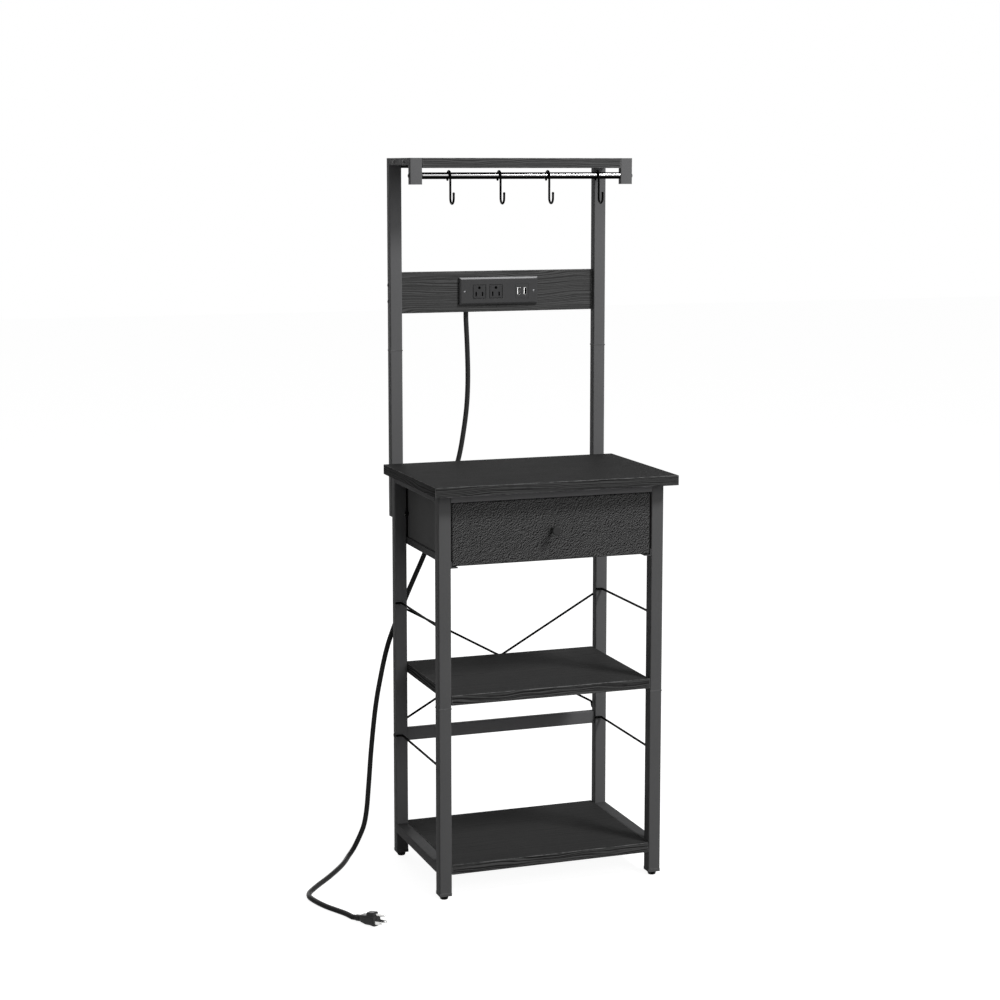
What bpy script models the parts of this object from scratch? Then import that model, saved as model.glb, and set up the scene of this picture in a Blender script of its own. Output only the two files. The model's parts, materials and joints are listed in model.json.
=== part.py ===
"""A narrow bakers rack with a drawer, a power outlet board and a hook rod.

Metres, +Z up. The rack faces -Y. The origin is on the floor, under the middle of the rack's
bounding box without its cord. Steel tubes carry four boards, the drawer slides on two angle
runners along -Y, and four S-hooks swing on the rod under the top shelf.
"""

import math

import bmesh
import bpy
from mathutils import Matrix, Vector
from mathutils.geometry import intersect_line_line_2d

# Fits
GAP = 0.0003
CUT_OVERRUN = 0.002
MERGE_DISTANCE = 0.00001

# Steel frame
FRAME_WIDTH = 0.426
FRAME_DEPTH = 0.281
POST_WIDTH = 0.023
FRONT_POST_DEPTH = 0.023
BACK_POST_DEPTH = 0.019
TUBE_CORNER = 0.002
TUBE_WALL = 0.0012
POST_JOINT_DROP = 0.0055
GLIDE_HEIGHT = 0.013
GLIDE_RADIUS = 0.007
GLIDE_EDGE = 0.001

# Boards
BOARD_THICKNESS = 0.018
BOARD_EDGE = 0.0008
BOTTOM_SHELF_TOP = 0.064
MID_SHELF_TOP = 0.372
WORKTOP_TOP = 0.7475
WORKTOP_SIDE_OVERHANG = 0.0155
WORKTOP_FRONT_OVERHANG = 0.031

# Rails between the posts
TOP_RAIL_HEIGHT = 0.0145
STRETCHER_TOP = 0.246
STRETCHER_HEIGHT = 0.024
STRETCHER_DEPTH = 0.013

# Guard wires at the sides and crossed brace wires at the back
WIRE_RADIUS = 0.0015
WIRE_BEND_RADIUS = 0.0035
GUARD_LOW_HEIGHT = 0.2353
GUARD_HIGH_HEIGHT = 0.4885
GUARD_LEG = 0.011
BRACE_LOW_HEIGHT = 0.253
BRACE_HIGH_HEIGHT = 0.480
BRACE_BEND_HEIGHT = 0.262
BRACE_LEG_OFFSET = 0.0016
BRACE_LEG_DROP = 0.0095

# Drawer and its runners
DRAWER_SIDE_CLEARANCE = 0.0025
DRAWER_TOP_CLEARANCE = 0.0008
DRAWER_RECESS = 0.0024
DRAWER_FRONT_THICKNESS = 0.015
DRAWER_FRONT_HEIGHT = 0.112
DRAWER_FRONT_EDGE = 0.0015
DRAWER_PANEL = 0.010
DRAWER_SIDE_HEIGHT = 0.103
DRAWER_SIDE_DROP = 0.0011
DRAWER_REAR_MARGIN = 0.0105
DRAWER_BOTTOM_THICKNESS = 0.004
DRAWER_BOTTOM_RAISE = 0.004
PANEL_EDGE = 0.0006
STOP_RADIUS = 0.0035
STOP_LENGTH = 0.0075
STOP_RISE = 0.0552
STOP_CLEARANCE = 0.0005
RUNNER_THICKNESS = 0.0015
RUNNER_SHELF = 0.0127
RUNNER_FLANGE_HEIGHT = 0.012
RUNNER_FRONT_INSET = 0.0005

# Knob
KNOB_LENGTH = 0.0215
KNOB_HEAD_RADIUS = 0.008
KNOB_NECK_RADIUS = 0.0034
KNOB_HEAD_LENGTH = 0.006
KNOB_NECK_LENGTH = 0.008
KNOB_EDGE = 0.0014

# Hutch above the worktop
HUTCH_RISE = 0.5615
HUTCH_OVERLAP = 0.0995
HUTCH_JOINT_RISE = 0.210
TOP_SHELF_DEPTH = 0.145
ARM_HEIGHT = 0.013
BRACKET_DEPTH = 0.012
BRACKET_HEIGHT = 0.047

# Rod and hooks
ROD_RADIUS = 0.006
ROD_DROP = 0.0315
HOOK_WIRE_RADIUS = 0.0015
HOOK_CLEARANCE = 0.0003
HOOK_REAR_DROP = 0.0085
HOOK_BOTTOM_DROP = 0.0493
HOOK_BOTTOM_RADIUS = 0.0095
HOOK_TIP_DROP = 0.0305
HOOK_PLACE_SHARES = (-0.366, -0.116, 0.130, 0.384)

# Outlet board, bezel and sockets
OUTLET_BOARD_DROP = 0.208
OUTLET_BOARD_HEIGHT = 0.076
OUTLET_BOARD_THICKNESS = 0.009
PLATE_WIDTH = 0.155
PLATE_HEIGHT = 0.0505
PLATE_THICKNESS = 0.0065
PLATE_RISE = 0.001
PLATE_RIM = 0.002
SOCKET_SIDE = 0.026
SOCKET_EDGE = 0.0005
SOCKET_OFFSETS = (-0.039, -0.0063)
SOCKET_LIFT = -0.0013
BLADE_PITCH = 0.0127
BLADE_SLOT_WIDTH = 0.0018
BLADE_SLOT_HEIGHT = 0.008
BLADE_SLOT_DROP = 0.0043
GROUND_HOLE_RADIUS = 0.0025
GROUND_HOLE_RISE = 0.0072
SLOT_DEPTH = 0.0045
USB_OFFSET = 0.0455
USB_PITCH = 0.013
USB_PORT_WIDTH = 0.0051
USB_PORT_HEIGHT = 0.013
USB_TONGUE_THICKNESS = 0.0019
USB_TONGUE_HEIGHT = 0.011
USB_TONGUE_INSET = 0.001
HOUSING_NECK_WIDTH = 0.120
HOUSING_NECK_HEIGHT = 0.036
HOUSING_WIDTH = 0.140
HOUSING_HEIGHT = 0.038
HOUSING_DEPTH = 0.0155
HOUSING_EDGE = 0.0015

# Cord, its strain relief and its plug
CORD_RADIUS = 0.0047
CORD_STEP = 0.0225
GLAND_OFFSET = -0.0577
GLAND_LENGTH = 0.020
GLAND_COLLAR = 0.003
GLAND_TOP_RADIUS = 0.0073
GLAND_NECK_RADIUS = 0.0065
GLAND_TIP_RADIUS = 0.0054
PLUG_HEADING = math.radians(-58.0)
PLUG_PITCH = math.radians(7.5)
PLUG_RELIEF_LENGTH = 0.013
PLUG_RELIEF_TIP_RADIUS = 0.0054
PLUG_RELIEF_RADIUS = 0.0060
PLUG_BODY_LENGTH = 0.0345
PLUG_REAR_WIDTH = 0.015
PLUG_REAR_DROP = 0.0062
PLUG_REAR_RISE = 0.008
PLUG_FACE_WIDTH = 0.0195
PLUG_FACE_DROP = 0.0105
PLUG_FACE_RISE = 0.008
PLUG_GRIP_WIDTH = 0.0155
PLUG_GRIP_RISE = 0.0138
PLUG_GRIP_LENGTH = 0.0215
PLUG_EDGE = 0.0025
PLUG_BLADE_LENGTH = 0.0172
PLUG_BLADE_WIDTH = 0.0063
PLUG_BLADE_THICKNESS = 0.0015
PLUG_BLADE_DROP = 0.0032
PLUG_PIN_RADIUS = 0.0024
PLUG_PIN_LENGTH = 0.0203
PLUG_PIN_RISE = 0.0087

# The cord's route from under the outlet board to the plug, on the floor in front at the left
CORD_ROUTE = (
    (-0.0552, 0.1655, 0.957),
    (-0.0541, 0.1655, 0.899),
    (-0.0562, 0.1655, 0.851),
    (-0.0622, 0.1655, 0.8035),
    (-0.0743, 0.1655, 0.743),
    (-0.1045, 0.1655, 0.660),
    (-0.1405, 0.1655, 0.571),
    (-0.1628, 0.1655, 0.523),
    (-0.1796, 0.1655, 0.486),
    (-0.2134, 0.1655, 0.403),
    (-0.2312, 0.1655, 0.329),
    (-0.2395, 0.1655, 0.282),
    (-0.2486, 0.1655, 0.202),
    (-0.2542, 0.1655, 0.134),
    (-0.2592, 0.1657, 0.080),
    (-0.2645, 0.1668, 0.052),
    (-0.2738, 0.1665, 0.0305),
    (-0.2871, 0.1570, 0.0137),
    (-0.3036, 0.1360, 0.0062),
    (-0.3244, 0.0990, 0.0050),
    (-0.3634, 0.0432, 0.0050),
    (-0.4050, -0.0085, 0.0050),
    (-0.4241, -0.0365, 0.0050),
    (-0.4285, -0.0550, 0.0050),
    (-0.4262, -0.0720, 0.0050),
    (-0.4146, -0.1095, 0.0050),
    (-0.3920, -0.1560, 0.0051),
    (-0.3876, -0.1690, 0.0054),
)
CORD_TAIL = (-0.3792, -0.1875, 0.0064)

# Counts, angles and shares
CORNER_SEGMENTS = 2
ROD_SIDES = 32
TURNED_STEPS = 24
GLIDE_SIDES = 20
HOLE_SIDES = 16
WIRE_RESOLUTION = 2
BEND_STEPS = 5
LOOP_STEPS = 12
SAMPLES_PER_SPAN = 40
SMOOTH_ANGLE = math.radians(35.0)
QUARTER_TURN = math.radians(90.0)
ALONG_SHARE = 0.999

# Places worked out from the sizes above
HALF_WIDTH = FRAME_WIDTH / 2
BAY_HALF = HALF_WIDTH - POST_WIDTH
POST_CENTRE_X = HALF_WIDTH - POST_WIDTH / 2
DEPTH_BEHIND_FRAME = GAP + BACK_POST_DEPTH + GAP + HOUSING_DEPTH
OVERALL_DEPTH = WORKTOP_FRONT_OVERHANG + FRAME_DEPTH + DEPTH_BEHIND_FRAME
FRAME_FRONT = WORKTOP_FRONT_OVERHANG - OVERALL_DEPTH / 2
FRONT_POST_BACK = FRAME_FRONT + FRONT_POST_DEPTH
FRAME_BACK = FRAME_FRONT + FRAME_DEPTH
BACK_POST_FRONT = FRAME_BACK - BACK_POST_DEPTH
HUTCH_FRONT = FRAME_BACK + GAP
HUTCH_BACK = HUTCH_FRONT + BACK_POST_DEPTH
POST_BOTTOM = GLIDE_HEIGHT + GAP
POST_JOINT_HEIGHT = MID_SHELF_TOP - BOARD_THICKNESS - POST_JOINT_DROP
POST_TOP = WORKTOP_TOP - BOARD_THICKNESS - GAP
SHELF_HALF = BAY_HALF - GAP
HUTCH_TOP = WORKTOP_TOP + HUTCH_RISE
HUTCH_BOTTOM = WORKTOP_TOP - HUTCH_OVERLAP
HUTCH_JOINT_HEIGHT = WORKTOP_TOP + HUTCH_JOINT_RISE
TOP_SHELF_FRONT = HUTCH_BACK - TOP_SHELF_DEPTH
BRACKET_BACK = TOP_SHELF_FRONT + BRACKET_DEPTH
ROD_Y = TOP_SHELF_FRONT + BRACKET_DEPTH / 2
ROD_Z = HUTCH_TOP - ROD_DROP
DRAWER_HALF = BAY_HALF - DRAWER_SIDE_CLEARANCE
DRAWER_FACE = FRAME_FRONT + DRAWER_RECESS
DRAWER_BOX_FRONT = DRAWER_FACE + DRAWER_FRONT_THICKNESS + GAP
DRAWER_BOX_BACK = FRAME_BACK - DRAWER_REAR_MARGIN
DRAWER_FRONT_TOP = POST_TOP - TOP_RAIL_HEIGHT - DRAWER_TOP_CLEARANCE
DRAWER_FRONT_BOTTOM = DRAWER_FRONT_TOP - DRAWER_FRONT_HEIGHT
DRAWER_SIDE_BOTTOM = DRAWER_FRONT_BOTTOM - DRAWER_SIDE_DROP
DRAWER_SIDE_TOP = DRAWER_SIDE_BOTTOM + DRAWER_SIDE_HEIGHT
RUNNER_TOP = DRAWER_SIDE_BOTTOM - GAP
STOP_Y = BACK_POST_FRONT - STOP_RADIUS - STOP_CLEARANCE
OUTLET_BOARD_TOP = HUTCH_TOP - OUTLET_BOARD_DROP
OUTLET_BOARD_BOTTOM = OUTLET_BOARD_TOP - OUTLET_BOARD_HEIGHT
OUTLET_BOARD_FRONT = HUTCH_BACK - OUTLET_BOARD_THICKNESS
PLATE_BACK = OUTLET_BOARD_FRONT - GAP
PLATE_FRONT = PLATE_BACK - PLATE_THICKNESS
PLATE_Z = OUTLET_BOARD_TOP - OUTLET_BOARD_HEIGHT / 2 + PLATE_RISE
SOCKET_Z = PLATE_Z + SOCKET_LIFT
HOUSING_FRONT = HUTCH_BACK + GAP
HOUSING_BACK = HOUSING_FRONT + HOUSING_DEPTH
HOUSING_BOTTOM = PLATE_Z - HOUSING_HEIGHT / 2
GLAND_Y = HOUSING_FRONT + HOUSING_DEPTH / 2

# Finishes: linear colour, roughness, metallic
STEEL = ((0.062, 0.062, 0.066), 0.42, 0.55)
WIRE = ((0.020, 0.020, 0.021), 0.40, 0.60)
BOARD = ((0.036, 0.036, 0.037), 0.55, 0.0)
LEATHER = ((0.050, 0.050, 0.050), 0.60, 0.0)
DRAWER_PANELS = ((0.030, 0.030, 0.031), 0.65, 0.0)
ROD_STEEL = ((0.080, 0.080, 0.084), 0.18, 0.90)
PLASTIC = ((0.040, 0.040, 0.041), 0.35, 0.0)
SOCKET_PLASTIC = ((0.028, 0.028, 0.029), 0.32, 0.0)
RUBBER = ((0.012, 0.012, 0.012), 0.60, 0.0)


def clear_scene():
    """Remove every object, so that the script always starts from nothing."""
    for item in list(bpy.data.objects):
        bpy.data.objects.remove(item, do_unlink=True)


def new_collection(name):
    """Make a collection under the scene's own."""
    collection = bpy.data.collections.new(name)
    bpy.context.scene.collection.children.link(collection)
    return collection


def new_material(name, finish):
    """Make the Principled material of one piece."""
    colour, roughness, metallic = finish
    material = bpy.data.materials.new(name)
    material.use_nodes = True
    shader = material.node_tree.nodes["Principled BSDF"]
    shader.inputs["Base Color"].default_value = (*colour, 1.0)
    shader.inputs["Roughness"].default_value = roughness
    shader.inputs["Metallic"].default_value = metallic
    return material


class Workshop:
    """The collections that pieces and cutters go into, and the ways of making a piece."""

    def __init__(self):
        self.pieces = new_collection("bakers_rack")
        self.cutters = new_collection("cutters")

    def place(self, name, data, finish, location):
        """Add a piece with its own material at its place."""
        item = bpy.data.objects.new(name, data)
        item.location = location
        if finish is None:
            item.hide_render = True
            item.display_type = "WIRE"
            self.cutters.objects.link(item)
        else:
            if not data.materials:
                data.materials.append(new_material(name, finish))
            self.pieces.objects.link(item)
        return item

    def block(self, name, low, high, finish, edge=0.0, along=None):
        """Add a box between two corners, its edges rounded, or only those along one axis."""
        low = Vector(low)
        high = Vector(high)
        shape = bmesh.new()
        bmesh.ops.create_cube(shape, size=1.0)
        bmesh.ops.scale(shape, vec=high - low, verts=shape.verts)
        if edge > 0.0:
            chosen = [e for e in shape.edges if along is None or runs_along(e, along)]
            bmesh.ops.bevel(
                shape, geom=chosen, offset=edge, segments=CORNER_SEGMENTS,
                profile=0.5, affect="EDGES",
            )
        return self.place(name, mesh_from(shape, name), finish, (low + high) / 2)

    def tube(self, name, low, high, along, finish=STEEL, closed_low=False, closed_high=False):
        """Add a hollow square tube between two corners, with end plates where it shows."""
        outer = self.block(name, low, high, finish, TUBE_CORNER, along)
        axis = "XYZ".index(along)
        bore_low = Vector(low) + Vector((TUBE_WALL,) * 3)
        bore_high = Vector(high) - Vector((TUBE_WALL,) * 3)
        if not closed_low:
            bore_low[axis] = low[axis] - CUT_OVERRUN
        if not closed_high:
            bore_high[axis] = high[axis] + CUT_OVERRUN
        bore = self.block(name + "_bore", bore_low, bore_high, None, TUBE_CORNER / 2, along)
        combine(outer, bore, "DIFFERENCE")
        return outer

    def round_bar(self, name, radius, length, sides, finish, location, along="Z", edge=0.0):
        """Add a solid cylinder centred on a place, with its rims rounded."""
        shape = bmesh.new()
        bmesh.ops.create_cone(
            shape, cap_ends=True, segments=sides, radius1=radius, radius2=radius, depth=length,
        )
        if edge > 0.0:
            rims = [e for e in shape.edges if len(e.link_faces) == 2 and not runs_along(e, "Z")]
            bmesh.ops.bevel(
                shape, geom=rims, offset=edge, segments=CORNER_SEGMENTS, profile=0.5,
                affect="EDGES",
            )
        item = self.place(name, mesh_from(shape, name), finish, location)
        item.rotation_euler = {
            "X": (0.0, QUARTER_TURN, 0.0),
            "Y": (QUARTER_TURN, 0.0, 0.0),
            "Z": (0.0, 0.0, 0.0),
        }[along]
        return item

    def turned(self, name, profile, finish, location):
        """Add a turned piece from (radius, height) points that run down its outer side."""
        mesh = bpy.data.meshes.new(name)
        points = [(radius, 0.0, height) for radius, height in profile]
        mesh.from_pydata(points, [(n, n + 1) for n in range(len(points) - 1)], [])
        item = self.place(name, mesh, finish, location)
        screw = item.modifiers.new("Screw", "SCREW")
        screw.steps = TURNED_STEPS
        screw.render_steps = TURNED_STEPS
        screw.use_merge_vertices = True
        screw.merge_threshold = MERGE_DISTANCE
        screw.use_smooth_shade = True
        return item

    def wire(self, name, points, radius, finish, location=(0.0, 0.0, 0.0)):
        """Add a round wire with filled ends along a line of points."""
        curve = bpy.data.curves.new(name, "CURVE")
        curve.dimensions = "3D"
        curve.bevel_depth = radius
        curve.bevel_resolution = WIRE_RESOLUTION
        curve.use_fill_caps = True
        line = curve.splines.new("POLY")
        line.points.add(len(points) - 1)
        for place, point in zip(line.points, points):
            place.co = (*point, 1.0)
        return self.place(name, curve, finish, location)

    def bar(self, name, corners, length, finish, location):
        """Add a bar along Y, from its section's (x, z) corners thickened both ways."""
        curve = bpy.data.curves.new(name, "CURVE")
        curve.dimensions = "2D"
        curve.fill_mode = "BOTH"
        curve.extrude = length / 2
        line = curve.splines.new("POLY")
        line.points.add(len(corners) - 1)
        for place, corner in zip(line.points, corners):
            place.co = (*corner, 0.0, 1.0)
        line.use_cyclic_u = True
        item = self.place(name, curve, finish, location)
        item.rotation_euler = (QUARTER_TURN, 0.0, 0.0)
        return item


def runs_along(edge, along):
    """Say whether an edge lies along the named axis."""
    run = edge.verts[1].co - edge.verts[0].co
    return abs(run["XYZ".index(along)]) > run.length * ALONG_SHARE


def mesh_from(shape, name):
    """Turn a bmesh into a mesh whose rounded edges are shaded smooth."""
    mesh = bpy.data.meshes.new(name)
    shape.to_mesh(mesh)
    shape.free()
    mesh.shade_smooth()
    mesh.set_sharp_from_angle(angle=SMOOTH_ANGLE)
    return mesh


def combine(target, other, operation):
    """Cut one object with another, or join the other to it."""
    boolean = target.modifiers.new(operation.title(), "BOOLEAN")
    boolean.operation = operation
    boolean.object = other
    boolean.solver = "EXACT"


def side_name(side):
    """Name the left side, at -X, or the right."""
    return "left" if side < 0 else "right"


def across(side, inner, outer):
    """Give the low and high X of something between two distances from the middle."""
    return (-outer, -inner) if side < 0 else (inner, outer)


def add_posts(shop):
    """Front posts in two lengths, back posts in one, each on a round glide."""
    joint_low = POST_JOINT_HEIGHT - GAP / 2
    joint_high = POST_JOINT_HEIGHT + GAP / 2
    for side in (-1, 1):
        name = side_name(side)
        low_x, high_x = across(side, BAY_HALF, HALF_WIDTH)
        shop.tube(
            f"front_post_{name}_lower",
            (low_x, FRAME_FRONT, POST_BOTTOM), (high_x, FRONT_POST_BACK, joint_low), "Z",
            closed_low=True,
        )
        shop.tube(
            f"front_post_{name}_upper",
            (low_x, FRAME_FRONT, joint_high), (high_x, FRONT_POST_BACK, POST_TOP), "Z",
        )
        shop.tube(
            f"back_post_{name}",
            (low_x, BACK_POST_FRONT, POST_BOTTOM), (high_x, FRAME_BACK, POST_TOP), "Z",
            closed_low=True,
        )
        for row, y in (
            ("front", FRAME_FRONT + FRONT_POST_DEPTH / 2),
            ("back", FRAME_BACK - BACK_POST_DEPTH / 2),
        ):
            shop.round_bar(
                f"glide_{row}_{name}", GLIDE_RADIUS, GLIDE_HEIGHT, GLIDE_SIDES, RUBBER,
                (side * POST_CENTRE_X, y, GLIDE_HEIGHT / 2), edge=GLIDE_EDGE,
            )


def add_rails(shop):
    """Side rails beside the bottom shelf, the rim under the worktop and the stretcher."""
    side_front = FRONT_POST_BACK + GAP
    side_back = BACK_POST_FRONT - GAP
    rim_low = POST_TOP - TOP_RAIL_HEIGHT
    shelf_low = BOTTOM_SHELF_TOP - BOARD_THICKNESS
    for side in (-1, 1):
        name = side_name(side)
        low_x, high_x = across(side, BAY_HALF, HALF_WIDTH)
        shop.tube(
            f"bottom_rail_{name}",
            (low_x, side_front, shelf_low), (high_x, side_back, BOTTOM_SHELF_TOP), "Y",
        )
        shop.tube(
            f"top_rail_{name}",
            (low_x, side_front, rim_low), (high_x, side_back, POST_TOP), "Y",
        )
    shop.tube(
        "top_rail_front",
        (-SHELF_HALF, FRAME_FRONT, rim_low), (SHELF_HALF, FRONT_POST_BACK, POST_TOP), "X",
    )
    shop.tube(
        "top_rail_back",
        (-SHELF_HALF, BACK_POST_FRONT, rim_low), (SHELF_HALF, FRAME_BACK, POST_TOP), "X",
    )
    shop.tube(
        "back_stretcher",
        (-SHELF_HALF, FRAME_BACK - STRETCHER_DEPTH, STRETCHER_TOP - STRETCHER_HEIGHT),
        (SHELF_HALF, FRAME_BACK, STRETCHER_TOP), "X",
    )


def add_boards(shop):
    """Bottom shelf, mid shelf, overhanging worktop and top shelf."""
    for name, top in (("bottom_shelf", BOTTOM_SHELF_TOP), ("mid_shelf", MID_SHELF_TOP)):
        shop.block(
            name,
            (-SHELF_HALF, FRAME_FRONT, top - BOARD_THICKNESS), (SHELF_HALF, FRAME_BACK, top),
            BOARD, BOARD_EDGE,
        )
    shop.block(
        "worktop",
        (
            -HALF_WIDTH - WORKTOP_SIDE_OVERHANG,
            FRAME_FRONT - WORKTOP_FRONT_OVERHANG,
            WORKTOP_TOP - BOARD_THICKNESS,
        ),
        (HALF_WIDTH + WORKTOP_SIDE_OVERHANG, FRAME_BACK, WORKTOP_TOP),
        BOARD, BOARD_EDGE,
    )
    shop.block(
        "top_shelf",
        (-SHELF_HALF, TOP_SHELF_FRONT, HUTCH_TOP - BOARD_THICKNESS),
        (SHELF_HALF, HUTCH_BACK, HUTCH_TOP),
        BOARD, BOARD_EDGE,
    )


def bent_line(start, corner, end, radius):
    """Give the points of a wire that turns once, round a corner, on an arc."""
    inward = (start - corner).normalized()
    onward = (end - corner).normalized()
    half_angle = inward.angle(onward) / 2
    reach = radius / math.tan(half_angle)
    centre = corner + (inward + onward).normalized() * radius / math.sin(half_angle)
    first = corner + inward * reach - centre
    last = corner + onward * reach - centre
    sweep = first.angle(last)
    arc = []
    for step in range(BEND_STEPS + 1):
        angle = sweep * step / BEND_STEPS
        mixed = first * math.sin(sweep - angle) + last * math.sin(angle)
        arc.append(centre + mixed / math.sin(sweep))
    return [start, *arc, end]


def add_guard_wires(shop):
    """Two wires across each open side, each with a short leg bent against the back post."""
    front = FRONT_POST_BACK + GAP
    back = BACK_POST_FRONT - GAP - WIRE_RADIUS
    for side in (-1, 1):
        for level, height in (("low", GUARD_LOW_HEIGHT), ("high", GUARD_HIGH_HEIGHT)):
            x = side * POST_CENTRE_X
            shop.wire(
                f"guard_wire_{side_name(side)}_{level}",
                bent_line(
                    Vector((x, front, height)), Vector((x, back, height)),
                    Vector((x - GUARD_LEG, back, height)), WIRE_BEND_RADIUS,
                ),
                WIRE_RADIUS, WIRE,
            )


def add_brace_wires(shop):
    """Two wires crossed behind the back posts, the falling one bowed round the rising one."""
    y = FRAME_BACK + GAP + WIRE_RADIUS
    low_left = Vector((-POST_CENTRE_X, y, BRACE_LOW_HEIGHT))
    high_right = Vector((POST_CENTRE_X, y, BRACE_HIGH_HEIGHT))
    high_left = Vector((-POST_CENTRE_X, y, BRACE_HIGH_HEIGHT))
    bend = Vector((BAY_HALF, y, BRACE_BEND_HEIGHT))
    leg_end = bend + Vector((BRACE_LEG_OFFSET, 0.0, -BRACE_LEG_DROP))
    crossing = intersect_line_line_2d(low_left.xz, high_right.xz, high_left.xz, bend.xz)
    bow = Vector((crossing.x, y + 2 * WIRE_RADIUS + GAP, crossing.y))
    shop.wire("brace_wire_rising", [low_left, high_right], WIRE_RADIUS, WIRE)
    shop.wire(
        "brace_wire_falling",
        [high_left, *bent_line(bow, bend, leg_end, WIRE_BEND_RADIUS)], WIRE_RADIUS, WIRE,
    )


def add_runners(shop):
    """Angle runners on the posts' inner faces, the drawer's sides resting on their shelves."""
    front = FRAME_FRONT + RUNNER_FRONT_INSET
    length = FRAME_BACK - front
    section = (
        (0.0, 0.0),
        (RUNNER_SHELF, 0.0),
        (RUNNER_SHELF, RUNNER_THICKNESS),
        (RUNNER_THICKNESS, RUNNER_THICKNESS),
        (RUNNER_THICKNESS, RUNNER_FLANGE_HEIGHT),
        (0.0, RUNNER_FLANGE_HEIGHT),
    )
    for side in (-1, 1):
        shop.bar(
            f"runner_{side_name(side)}",
            [(-side * x, z) for x, z in section], length, STEEL,
            (side * SHELF_HALF, front + length / 2, RUNNER_TOP - RUNNER_THICKNESS),
        )


def knob_profile():
    """Give the knob's outline: a narrow neck that flares into a flat round head."""
    head_back = KNOB_LENGTH - KNOB_HEAD_LENGTH
    return [
        (0.0, KNOB_LENGTH),
        (KNOB_HEAD_RADIUS - 2 * KNOB_EDGE, KNOB_LENGTH),
        (KNOB_HEAD_RADIUS - KNOB_EDGE / 2, KNOB_LENGTH - KNOB_EDGE / 2),
        (KNOB_HEAD_RADIUS, KNOB_LENGTH - 2 * KNOB_EDGE),
        (KNOB_HEAD_RADIUS - KNOB_EDGE / 2, head_back),
        (KNOB_NECK_RADIUS, KNOB_NECK_LENGTH),
        (KNOB_NECK_RADIUS, 0.0),
        (0.0, 0.0),
    ]


def add_drawer(shop):
    """The drawer box with its covered front, knob and rear stops, carried by one empty."""
    slide = bpy.data.objects.new("drawer_slide", None)
    slide_place = Vector((0.0, DRAWER_FACE, DRAWER_FRONT_BOTTOM))
    slide.location = slide_place
    shop.pieces.objects.link(slide)
    inner_half = DRAWER_HALF - DRAWER_PANEL
    back_front = DRAWER_BOX_BACK - DRAWER_PANEL
    bottom_low = DRAWER_SIDE_BOTTOM + DRAWER_BOTTOM_RAISE
    bottom_high = bottom_low + DRAWER_BOTTOM_THICKNESS
    panel_half = inner_half - GAP
    moving = [
        shop.block(
            "drawer_front",
            (-DRAWER_HALF, DRAWER_FACE, DRAWER_FRONT_BOTTOM),
            (DRAWER_HALF, DRAWER_FACE + DRAWER_FRONT_THICKNESS, DRAWER_FRONT_TOP),
            LEATHER, DRAWER_FRONT_EDGE,
        ),
        shop.block(
            "drawer_back",
            (-panel_half, back_front, DRAWER_SIDE_BOTTOM),
            (panel_half, DRAWER_BOX_BACK, DRAWER_SIDE_TOP),
            DRAWER_PANELS, PANEL_EDGE,
        ),
        shop.block(
            "drawer_bottom",
            (-panel_half, DRAWER_BOX_FRONT, bottom_low),
            (panel_half, back_front - GAP, bottom_high),
            DRAWER_PANELS,
        ),
    ]
    for side in (-1, 1):
        name = side_name(side)
        low_x, high_x = across(side, inner_half, DRAWER_HALF)
        moving.append(shop.block(
            f"drawer_side_{name}",
            (low_x, DRAWER_BOX_FRONT, DRAWER_SIDE_BOTTOM),
            (high_x, DRAWER_BOX_BACK, DRAWER_SIDE_TOP),
            DRAWER_PANELS, PANEL_EDGE,
        ))
        stop_x = side * (DRAWER_HALF + GAP + STOP_LENGTH / 2)
        stop_z = DRAWER_SIDE_BOTTOM + STOP_RISE
        moving.append(shop.round_bar(
            f"drawer_stop_{name}", STOP_RADIUS, STOP_LENGTH, HOLE_SIDES, RUBBER,
            (stop_x, STOP_Y, stop_z), along="X",
        ))
    knob_place = (0.0, DRAWER_FACE - GAP, (DRAWER_FRONT_TOP + DRAWER_FRONT_BOTTOM) / 2)
    knob = shop.turned("drawer_knob", knob_profile(), STEEL, knob_place)
    knob.rotation_euler = (QUARTER_TURN, 0.0, 0.0)
    moving.append(knob)
    for item in moving:
        item.parent = slide
        item.matrix_parent_inverse = Matrix.Translation(slide_place).inverted()


def add_hutch(shop):
    """Hutch posts in two lengths, the arms beside the top shelf and the drop brackets."""
    joint_low = HUTCH_JOINT_HEIGHT - GAP / 2
    joint_high = HUTCH_JOINT_HEIGHT + GAP / 2
    for side in (-1, 1):
        name = side_name(side)
        low_x, high_x = across(side, BAY_HALF, HALF_WIDTH)
        shop.tube(
            f"hutch_post_{name}_lower",
            (low_x, HUTCH_FRONT, HUTCH_BOTTOM), (high_x, HUTCH_BACK, joint_low), "Z",
            closed_low=True,
        )
        shop.tube(
            f"hutch_post_{name}_upper",
            (low_x, HUTCH_FRONT, joint_high), (high_x, HUTCH_BACK, HUTCH_TOP), "Z",
            closed_high=True,
        )
        shop.tube(
            f"arm_{name}",
            (low_x, BRACKET_BACK + GAP, HUTCH_TOP - ARM_HEIGHT),
            (high_x, HUTCH_FRONT - GAP, HUTCH_TOP), "Y",
        )
        shop.block(
            f"drop_bracket_{name}",
            (low_x, TOP_SHELF_FRONT, HUTCH_TOP - BRACKET_HEIGHT),
            (high_x, BRACKET_BACK, HUTCH_TOP), STEEL, TUBE_CORNER, "Z",
        )


def arc_points(centre_y, centre_z, radius, start, end, steps):
    """Give points on an arc in the YZ plane, from one angle to another."""
    points = []
    for step in range(steps + 1):
        angle = start + (end - start) * step / steps
        y = centre_y + radius * math.cos(angle)
        z = centre_z + radius * math.sin(angle)
        points.append((0.0, y, z))
    return points


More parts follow.
